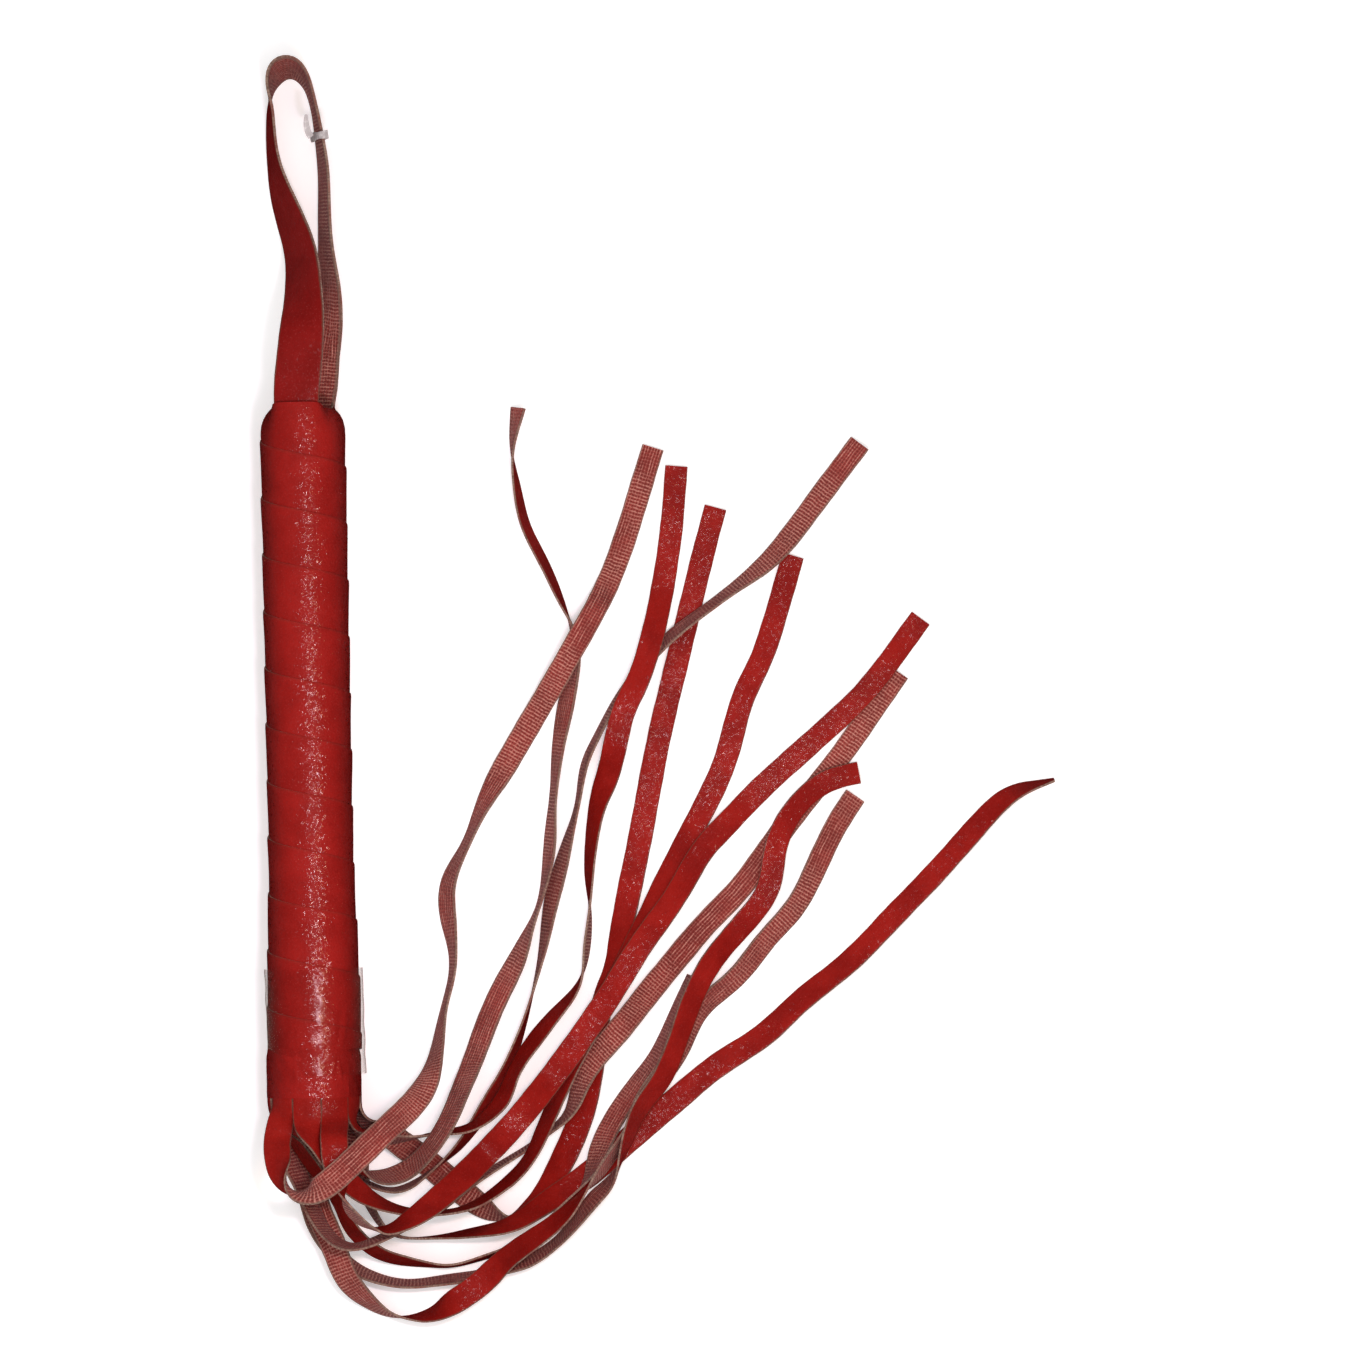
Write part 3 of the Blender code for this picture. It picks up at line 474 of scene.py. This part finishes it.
class Strip:
    """A strip's fine centre line with its across and normal directions and its widths."""

    def __init__(self, centre, across, width, spacing):
        steps = np.linalg.norm(np.diff(centre, axis=0), axis=1)
        along = np.concatenate([[0.0], np.cumsum(steps)])
        count = max(int(along[-1] / spacing), 8)
        at = np.interp(np.linspace(0.0, along[-1], count + 1), along, np.arange(len(along)))
        self.centre = spline(centre, at)
        across = spline(across, at)
        self.width = np.interp(at, np.arange(len(width)), width)
        steps = np.linalg.norm(np.diff(self.centre, axis=0), axis=1)
        self.along = np.concatenate([[0.0], np.cumsum(steps)])
        self.aim(across)

    def aim(self, across):
        """Sets the across and normal directions square to the centre line."""
        tangent = unit(np.gradient(self.centre, axis=0))
        across = across - tangent * np.sum(across * tangent, axis=1, keepdims=True)
        self.across = unit(across)
        self.normal = unit(np.cross(self.across, tangent))

    def waver(self, seed, lift, drift):
        """Small bends out of the strip's plane and small drifts of its two rims."""
        s = self.along / MM
        phase = 1.7 * seed
        calm = np.clip(s / 20.0, 0.0, 1.0)
        wave = np.sin(s / 3.1 + phase) * 0.5 + np.sin(s / 5.3 + 2.1 * phase)
        self.centre = self.centre + self.normal * (wave * calm * lift)[:, None]
        rims = np.sin(s / 2.3 + 1.3 * phase) + 0.6 * np.sin(s / 0.9 + phase)
        self.width = self.width + rims * drift


ACROSS = np.array([-1.0, -0.975, -0.9, -0.74, -0.5, -0.25, 0.0, 0.25, 0.5, 0.74, 0.9, 0.975, 1.0])
SMOOTH, WOVEN, CUT = 0, 1, 2


def linked(name, data):
    """A new object of the scene that holds the data."""
    obj = bpy.data.objects.new(name, data)
    bpy.context.scene.collection.objects.link(obj)
    return obj


def banded_mesh(name, first, second, along, across, side, seed, materials, sharp=50):
    """A closed strip from two grids of (station, column) points, one for each face.

    along, across and side are grids of the same shape: millimetres along and across the strip for
    its pattern, and -1 to 1 across it.
    """
    rows, columns = first.shape[:2]
    ring = 2 * columns
    points = np.concatenate([first, second[:, ::-1]], axis=1)
    i = np.arange(rows - 1)[:, None] * ring
    j = np.arange(ring)[None, :]
    k = (j + 1) % ring
    walls = np.stack([i + j, i + k, i + ring + k, i + ring + j], axis=-1).reshape(-1, 4)
    slots = np.where(j < columns - 1, SMOOTH, np.where((j >= columns) & (j < ring - 1), WOVEN, CUT))
    c = np.arange(columns - 1)
    cap = np.stack([c, ring - 1 - c, ring - 2 - c, c + 1], axis=-1)
    faces = np.concatenate([walls, cap, cap[:, ::-1] + (rows - 1) * ring])
    slots = np.concatenate([np.tile(slots[0], rows - 1), np.full(2 * len(cap), CUT)])
    mesh = bpy.data.meshes.new(name)
    mesh.from_pydata(points.reshape(-1, 3).tolist(), [], faces.tolist())
    for material in materials:
        mesh.materials.append(material)
    mesh.polygons.foreach_set("material_index", slots)
    pattern = np.stack([along, across, np.full(along.shape, seed)], axis=-1)
    for key, kind, field, grid in (("strip", 'FLOAT_VECTOR', "vector", pattern),
                                   ("side", 'FLOAT', "value", side)):
        both_faces = np.concatenate([grid, grid[:, ::-1]], axis=1).astype(np.float32)
        mesh.attributes.new(key, kind, 'POINT').data.foreach_set(field, both_faces.ravel())
    turn_outwards(mesh)
    mesh.shade_smooth()
    mesh.set_sharp_from_angle(angle=math.radians(sharp))
    return linked(name, mesh)


def turn_outwards(mesh):
    """Flips the faces if the closed mesh is inside out."""
    mesh.calc_loop_triangles()
    corners = np.empty(len(mesh.vertices) * 3, np.float32)
    mesh.vertices.foreach_get("co", corners)
    corners = corners.reshape(-1, 3).astype(float)
    triangles = np.empty(len(mesh.loop_triangles) * 3, np.int32)
    mesh.loop_triangles.foreach_get("vertices", triangles)
    a, b, c = (corners[triangles.reshape(-1, 3)[:, k]] for k in range(3))
    if np.sum(np.cross(a, b) * c) < 0:
        mesh.flip_normals()


def ribbon(name, strip, materials, seed, thickness=LEATHER, curl=None, origin=(0.0, 0.0)):
    """A strip's closed mesh. curl is its curvature across, one value for each station, and origin
    is where its pattern starts, in millimetres along and across."""
    bend = np.zeros(len(strip.centre)) if curl is None else curl
    bend = np.where(np.abs(bend) < 1e-3, 1e-3, bend)[:, None]
    reach = strip.width[:, None] / 2 * ACROSS[None, :]
    tilt = reach * bend
    shift, sag = np.sin(tilt) / bend, (1 - np.cos(tilt)) / bend
    outward = (strip.normal[:, None, :] * np.cos(tilt)[..., None]
               + strip.across[:, None, :] * np.sin(tilt)[..., None])
    middle = (strip.centre[:, None, :] + strip.across[:, None, :] * shift[..., None]
              - strip.normal[:, None, :] * sag[..., None])
    half = thickness / 2 * (1 - 0.3 * np.abs(ACROSS) ** 12)[None, :, None]
    along = np.broadcast_to(strip.along[:, None] / MM + origin[0], reach.shape)
    side = np.broadcast_to(ACROSS[None, :], reach.shape)
    return banded_mesh(name, middle + outward * half, middle - outward * half, along,
                       reach / MM + origin[1], side, seed, materials, sharp=55)


def smooth_step(values, low, high):
    t = np.clip((values - low) / (high - low), 0.0, 1.0)
    return t * t * (3 - 2 * t)


def outward_from_handle(point):
    return np.array([point[0], 0.0, point[2]])


# ---------------------------------------------------------------- fringe: tails and their sheet

def sheet_radius(turn):
    """Outer radius of the rolled sheet at a turn angle. It is wound inwards, anticlockwise."""
    wound = np.clip((SHEET_DIVE_DEG - np.asarray(turn)) / SHEET_DIVE_SPAN_DEG, 0.0, 1.0)
    return SHEET_RADIUS + (SHEET_INNER_RADIUS - SHEET_RADIUS) * wound


def wound_turn(slot):
    """The turn angle of a tail's slot on the rolled sheet, which runs anticlockwise from its free
    edge: slots 2 to 0, then 9 to 3, then 11 and 10 underneath the first ones."""
    rounds = (slot > 2) + (slot > 9)
    return ROOT_START_DEG + ROOT_PITCH_DEG * slot - 360.0 * rounds


def polar(radius, degrees, y):
    """Points round the handle's axis; the angle runs from straight up towards +X."""
    radius, degrees, y = np.broadcast_arrays(radius, degrees, y)
    turn = np.radians(degrees)
    return np.stack([radius * np.sin(turn), y, radius * np.cos(turn)], axis=-1)


def make_tail(name, slot, materials):
    """A tail: its root follows the rolled sheet's curve, straight down, then goes its own way."""
    centre, across, width = stations_of(name, TAIL_CAD_THICKNESS, np.array([0.0, MOUTH_Y, 0.0]),
                                        outward_from_handle)
    turn = wound_turn(slot)
    radius = float(sheet_radius(turn)) - LEATHER / 2 - FEATHER
    strip = Strip(centre, across, width, 0.9 * MM)
    held = (1.0 - smooth_step(strip.along, 1.5 * MM, 15.0 * MM))[:, None]
    straight = polar(radius, turn, centre[0, 1] - strip.along)
    strip.centre = strip.centre * (1 - held) + straight * held
    tangent = polar(1.0, turn + 90.0, 0.0)
    sense = np.sign(np.dot(strip.across[0], tangent))
    strip.across = unit(strip.across * (1 - held) + sense * tangent * held)
    if slot == 0:
        # the first tail turns its face up before it folds back over the pile
        flat = 1.0 - smooth_step(strip.along, *FIRST_TAIL_FLAT)
        flat = (flat * (1 - held[:, 0]))[:, None]
        strip.across = unit(strip.across * (1 - flat) + sense * np.array([1.0, 0.0, 0.25]) * flat)
    held = held[:, 0]
    full = np.maximum(strip.width, TAIL_WIDTH * (1 - TAIL_TAPER * strip.along / strip.along[-1]))
    strip.width = full + (radius * math.radians(ROOT_PITCH_DEG) - SLIT - full) * held
    strip.aim(strip.across)
    number = slot + 1
    strip.waver(number, lift=0.10 * MM, drift=0.07 * MM)
    curl = held / radius + 9.0 * np.sin(strip.along / MM / 23.0 + number)
    start = sense * turn * SHEET_MM_PER_DEG
    piece = ribbon(name + "_strap", strip, materials, sense * PATTERN_SEED, curl=curl,
                   origin=(-MOUTH_Y / MM, start))
    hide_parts(name)
    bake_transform(piece)


def bulge(values, centre, width):
    return np.exp(-((values - centre) / width) ** 2)


def make_sheet(materials):
    """The uncut top of the fringe, rolled round the handle's lower end and under the wrap."""
    turn = np.linspace(SHEET_FREE_EDGE_DEG, SHEET_HIDDEN_EDGE_DEG, 360)[:, None]
    top = SHEET_TOP_MM + 0.6 * np.sin(turn / 9.0)
    share = np.concatenate([np.linspace(0.0, 0.96, 34), [0.985, 1.0]])[None, :]
    y = top + (SHEET_END_MM - top) * share
    tucked = 1 - smooth_step(-y, 165.5, 169.5)
    outer = sheet_radius(turn) / MM - 0.55 * tucked
    outer = outer + (0.05 * np.sin(y * 1.1 + turn * 0.12) * np.sin(turn * 0.21)
                     + 0.14 * bulge(turn, -22.0, 1.6 + 0.2 * (y + 179.0)) * bulge(y, -173.0, 3.0)
                     + 0.16 * bulge(turn - 0.8 * (y + 171.0), 24.0, 2.4) * bulge(y, -171.5, 2.6)
                     + 0.12 * bulge(turn + 0.6 * (y + 173.0), 33.0, 1.8) * bulge(y, -172.5, 3.0))
    thick = LEATHER / MM + (FEATHER / MM * 0.6 - LEATHER / MM) * smooth_step(share, 0.95, 1.0)
    sheet = banded_mesh("fringe_sheet", polar(outer * MM, turn, y * MM),
                        polar((outer - thick) * MM, turn, y * MM), np.broadcast_to(-y, outer.shape),
                        np.broadcast_to(turn * SHEET_MM_PER_DEG, outer.shape),
                        np.zeros(outer.shape), PATTERN_SEED, materials)
    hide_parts("fringe_band")
    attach(sheet, "handle")


# ---------------------------------------------------------------- handle

def wrap_wrinkles(degrees, y):
    """Standing folds where the film gathers the wrap's last turn, in millimetres of height."""
    turn = (degrees + 180.0) % 360.0 - 180.0
    folds = 0.30 * bulge(turn - 0.9 * (y + 161.0), 27.0, 3.4) * bulge(y, -162.0, 3.6)
    folds = folds + 0.26 * bulge(turn - 1.2 * (y + 161.0), 42.0, 2.6) * bulge(y, -161.5, 4.0)
    folds = folds + 0.20 * bulge(turn + 1.1 * (y + 164.0), -18.0, 3.0) * bulge(y, -164.5, 2.6)
    folds = folds + 0.14 * bulge(y + 0.05 * turn, -165.6, 0.8) * bulge(turn, 4.0, 22.0)
    return folds


def strap_hold(degrees):
    """1 where a leg of the wrist strap lies under the wrap, 0 well away from it."""
    front = (degrees + 9.0 + 180.0) % 360.0 - 180.0
    back = (degrees - 163.0 + 180.0) % 360.0 - 180.0
    return np.exp(-(front / 46.0) ** 6) + np.exp(-(back / 46.0) ** 6)


def make_wrap(materials):
    """The spiral wrap: each turn's upper rim is pulled down tight over the turn above."""
    centre, across, width = stations_of("grip_wrap", WRAP_CAD_THICKNESS, np.zeros(3),
                                        outward_from_handle)
    strip = Strip(centre, across, width, 0.8 * MM)
    turn = np.degrees(np.unwrap(np.arctan2(strip.centre[:, 0], strip.centre[:, 2])))[:, None]
    full = width > 0.95 * width.max()
    t = ACROSS[None, :]
    y = strip.centre[:, 1:2] + strip.width[:, None] / 2 * t
    radius = np.interp(-y, -centre[full, 1], np.hypot(centre[full, 0], centre[full, 2])) / MM
    # how far each point lies below its turn's own upper rim, also where the strip is trimmed
    upper = np.interp(turn[:, 0], *wrap_rim(centre, across, width, full))[:, None]
    below = np.clip((upper - y) / width.max(), 0.0, 1.0)
    outer = radius - 0.12 + 0.42 * (1 - below) ** 1.3 - 0.20 * smooth_step(below, 0.84, 0.95)
    outer = outer - 0.14 * smooth_step(-below, -0.02, 0.0)
    wander = turn / 57.3 * 11.0    # millimetres round the handle
    outer = outer + 0.05 * np.sin(wander / 4.7 + 2.0 * t) * np.sin(wander / 11.0 + t)
    outer = outer + 0.03 * np.sin(wander / 1.7 + 4.0 * t) * (1 - below)
    outer = outer + wrap_wrinkles(turn, y / MM)
    shoulder = np.clip(1 + y / (8.6 * MM), 0.0, 1.0)
    hold = strap_hold(turn)
    outer = outer * (1 - (0.30 - 0.27 * hold) * shoulder ** 3)
    y = y + 1.7 * MM * hold * shoulder ** 2
    y = np.maximum(y, WRAP_END + 0.5 * MM * np.sin(turn / 21.0))
    along = np.broadcast_to(strip.along[:, None] / MM, y.shape)
    side = np.clip(1.0 - 2.0 * below, -0.8, 1.0)
    inner = outer - WRAP_VISIBLE_MM
    wrap = banded_mesh("wrap_strip", polar(outer * MM, turn, y), polar(inner * MM, turn, y),
                       along, y / MM, side, 55.0, materials)
    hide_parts("grip_wrap")
    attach(wrap, "handle")


def wrap_rim(centre, across, width, full):
    """Turn angle and height of the strip's upper rim at its full-width stations, drawn out at both
    ends along its pitch."""
    turn = np.degrees(np.unwrap(np.arctan2(centre[:, 0], centre[:, 2])))[full]
    height = (centre[:, 1] + np.abs(across[:, 1]) * width / 2)[full]
    slope = (height[-1] - height[0]) / (turn[-1] - turn[0])
    return (np.array([turn[0] - 720.0, *turn, turn[-1] + 720.0]),
            np.array([height[0] - 720.0 * slope, *height, height[-1] + 720.0 * slope]))


def make_pommel(materials):
    """The leather disc over the handle's end, gathered into faint pleats at its rim."""
    turn = np.linspace(0.0, 360.0, 97)[:, None]
    reach = np.linspace(0.35, 8.3, 22)[None, :]
    pleats = 0.05 * np.sin(np.radians(turn) * 9.0) + 0.03 * np.sin(np.radians(turn) * 23.0)
    dome = -0.10 - 0.05 * (reach / 4.0) ** 2 - 0.5 * smooth_step(reach, 6.8, 8.6)
    y = (dome + pleats * (reach / 8.3) ** 3) * MM
    disc = banded_mesh("pommel_disc", polar(reach * MM, turn, y),
                       polar(reach * MM, turn, y - 0.8 * MM), reach * np.cos(np.radians(turn)),
                       reach * np.sin(np.radians(turn)), np.zeros(y.shape), 70.0, materials)
    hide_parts("pommel_cap")
    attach(disc, "handle")


def make_tape(material):
    """A sleeve of clear film with shallow dents, a little loose at the sides."""
    low, high = (np.array(corner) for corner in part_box("clear_tape"))
    columns, rows = 120, 30
    y = np.linspace(low[1], high[1], rows)[:, None]
    a = 2 * math.pi * np.arange(columns)[None, :] / columns
    dents = 0.10 * np.sin(3 * a + y * 260) * np.sin(y * 410 + a) + 0.06 * np.sin(7 * a + y * 900)
    points = polar(high[0] - FILM_INSET + dents * MM, np.degrees(a), y)
    points[..., 0] += (0.05 + 0.5 * (high[1] - y) / (high[1] - low[1])) * MM
    i = np.arange(rows - 1)[:, None] * columns
    k = np.arange(columns)[None, :]
    n = (k + 1) % columns
    faces = np.stack([i + k, i + n, i + columns + n, i + columns + k], axis=-1)
    mesh = bpy.data.meshes.new("tape_sleeve")
    mesh.from_pydata(points.reshape(-1, 3).tolist(), [], faces.reshape(-1, 4).tolist())
    mesh.materials.append(material)
    mesh.shade_smooth()
    sleeve = linked("tape_sleeve", mesh)
    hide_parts("clear_tape")
    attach(sleeve, "handle")


# ---------------------------------------------------------------- wrist strap

def make_wrist_strap(materials):
    """One strap: tucked front end, loop, tucked back end."""
    front_leg = np.array([0.0, 0.0127, 0.0087])
    centre, across, width = stations_of("wrist_loop", STRAP_CAD_THICKNESS, front_leg,
                                        lambda _: np.array([0.0, 0.0, 1.0]))
    front_x, back_x = (sum(corner[0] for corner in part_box(node)) / 2
                       for node in ("strap_tuck_front", "strap_tuck_back"))
    tucked = np.linspace(-18.0, 2.0, 6) * MM
    head = np.array([(front_x, y, STRAP_HOLD_RADIUS) for y in tucked])
    tail = np.array([(back_x, y, -STRAP_HOLD_RADIUS) for y in tucked[::-1]])
    centre = np.vstack([head, centre, tail])
    across = np.vstack([np.tile(across[0] / np.linalg.norm(across[0]), (len(head), 1)), across,
                        np.tile(across[-1], (len(tail), 1))])
    width = np.concatenate([np.full(len(head), width[0]), width, np.full(len(tail), width[-1])])
    strip = Strip(centre, across, width, 0.9 * MM)
    y = strip.centre[:, 1]
    curl = (1 - smooth_step(y, -2.0 * MM, 9.0 * MM)) / STRAP_HOLD_RADIUS
    strip.waver(21, lift=0.06 * MM, drift=0.05 * MM)
    strap = ribbon("wrist_strap_leather", strip, materials, 21, thickness=0.95 * MM, curl=curl)
    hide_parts("wrist_loop", "strap_tuck_front", "strap_tuck_back")
    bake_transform(strap)


def make_tag(nylon):
    """A worn nylon band round the back leg, with its ends lapped, and the stub of its label."""
    points = np.array([v.co for v in NODES["tag_band"].data.vertices])
    middle = (points.max(axis=0) + points.min(axis=0)) / 2
    major, minor, along = np.linalg.svd(points - points.mean(axis=0), full_matrices=False)[2]
    reach = [np.ptp(points @ axis) / 2 - TAG_WIRE_RADIUS for axis in (major, minor)]
    a = np.radians(np.linspace(-110.0, 275.0, 56))
    lap = 1 + 0.05 * smooth_step(np.degrees(a), 225.0, 262.0)
    ring = middle + sum(
        axis[None, :] * (np.sign(part) * np.abs(part) ** 0.7 * half * lap)[:, None]
        for axis, part, half in ((major, np.cos(a), reach[0]), (minor, np.sin(a), reach[1])))
    width = (2.1 + 0.25 * np.sin(3 * a)) * MM
    band = Strip(ring, np.tile(along, (len(a), 1)), width, 0.5 * MM)
    band.waver(5, lift=0.04 * MM, drift=0.06 * MM)
    left = middle + np.array([-1.9, -0.4, 6.3]) * MM
    t = np.linspace(0.0, 1.0, 12)[:, None]
    stub = left + t * np.array([-3.2, 3.4, 0.4]) * MM + t * t * np.array([2.0, 2.4, 0.8]) * MM
    width = (1.7 - 0.9 * t[:, 0] ** 3) * MM
    blade = Strip(stub, np.tile([0.9, 0.35, 0.2], (12, 1)), width, 0.4 * MM)
    for name, strip in (("tag_nylon_band", band), ("tag_stub", blade)):
        piece = ribbon(name, strip, [nylon] * 3, 90.0, thickness=0.32 * MM)
        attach(piece, "tag")
        if name == "tag_nylon_band":
            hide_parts("tag_band")


# ---------------------------------------------------------------- surroundings

def add_area(name, place, target, sides, power, colour):
    """A rectangular lamp that shines at a target and that the camera doesn't see."""
    light = bpy.data.lights.new(name, 'AREA')
    light.energy = power
    light.color = colour
    light.shape = 'RECTANGLE'
    light.size, light.size_y = sides
    lamp = linked(name, light)
    lamp.location = place
    lamp.rotation_euler = (Vector(target) - Vector(place)).to_track_quat('-Z', 'Y').to_euler()
    lamp.visible_camera = False


def make_surroundings(floor_z):
    """The floor, the world and two small lamps over the handle."""
    mesh = bpy.data.meshes.new("floor")
    size = 3.0
    mesh.from_pydata([(-size, -size, floor_z), (size, -size, floor_z), (size, size, floor_z),
                      (-size, size, floor_z)], [], [(0, 1, 2, 3)])
    mesh.materials.append(pale_floor("pale_floor"))
    floor = linked("floor", mesh)
    floor.visible_glossy = False
    make_world()
    bpy.context.scene.view_settings.view_transform = 'Standard'
    target = (0.03, -0.13, 0.0)
    add_area("key", (0.080, -0.146, 0.45), target, (0.020, 0.055), 0.75, (1.0, 0.84, 0.97))
    add_area("warm", (0.140, -0.140, 0.45), target, (0.022, 0.080), 0.36, (1.0, 0.60, 0.30))


def make_world():
    """White light that is strongest from overhead, and plain white where the camera sees it. It
    leaves no reflection, so that the leather keeps its depth."""
    world = bpy.data.worlds.new("studio")
    bpy.context.scene.world = world
    world.use_nodes = True
    world.cycles_visibility.glossy = False
    nodes, links = world.node_tree.nodes, world.node_tree.links
    background = nodes["Background"]
    background.inputs["Color"].default_value = (1.0, 1.0, 1.0, 1.0)
    split = nodes.new("ShaderNodeSeparateXYZ")
    links.new(nodes.new("ShaderNodeTexCoord").outputs["Generated"], split.inputs[0])
    height = nodes.new("ShaderNodeMath")
    height.operation, height.use_clamp = 'MULTIPLY', True
    links.new(split.outputs["Z"], height.inputs[0])
    links.new(split.outputs["Z"], height.inputs[1])
    sky = nodes.new("ShaderNodeMath")
    sky.operation = 'MULTIPLY_ADD'
    links.new(height.outputs[0], sky.inputs[0])
    sky.inputs[1].default_value, sky.inputs[2].default_value = 1.5, 0.12
    seen = nodes.new("ShaderNodeMix")
    links.new(nodes.new("ShaderNodeLightPath").outputs["Is Camera Ray"], seen.inputs[0])
    links.new(sky.outputs[0], seen.inputs[2])
    seen.inputs[3].default_value = 1.0
    links.new(seen.outputs[0], background.inputs["Strength"])


def make_camera():
    """Straight down on the object, turned so that the handle leans by about a degree."""
    camera = bpy.data.cameras.new("camera")
    eye = linked("camera", camera)
    height, view_width = 3.0, 0.3497
    camera.sensor_width = 36.0
    camera.lens = 36.0 * height / view_width
    eye.location = (0.0949, -0.0709, height)
    eye.rotation_euler = (0.0, 0.0, math.radians(-1.135))
    bpy.context.scene.camera = eye


def recolour(node, material):
    """Gives a CAD node that stays in view its finished material."""
    for slot in NODES[node].material_slots:
        slot.material = material


def main():
    """Makes every material and piece, then what is round them."""
    tail_front = smooth_leatherette("tail_smooth", (0.195, 0.0060, 0.0042), (0.275, 0.0096, 0.0065),
                                    0.42, 0.45)
    wrap_front = smooth_leatherette("wrap_smooth", (0.235, 0.0082, 0.0065), (0.290, 0.0108, 0.0086),
                                    0.36, 1.0, rim=0.15, shade=0.45)
    strap_front = smooth_leatherette("strap_smooth", (0.172, 0.0054, 0.0045),
                                     (0.215, 0.0072, 0.0063), 0.40, 0.35)
    backing = woven_backing("woven_back", (0.27, 0.032, 0.025), (0.54, 0.24, 0.19))
    edge = cut_edge("cut_edge")
    film = clear_film("clear_film", (0.96, 0.955, 0.95), 0.012, 0.17)
    for slot, name in enumerate(TAILS):
        make_tail(name, slot, [tail_front, backing, edge])
    make_sheet([wrap_front, backing, edge])
    make_wrap([wrap_front, backing, edge])
    make_pommel([wrap_front, backing, edge])
    make_tape(film)
    make_wrist_strap([strap_front, backing, edge])
    wood, steel = turned_wood("dowel_wood"), tack_steel("tack_steel")
    recolour("core_dowel", wood)
    make_tag(cloudy_nylon("cloudy_nylon"))
    for node in NODES:
        if "tack" in node:
            recolour(node, steel)
    make_surroundings(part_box("tail_01")[0][2] - 0.6 * MM)
    make_camera()


main()
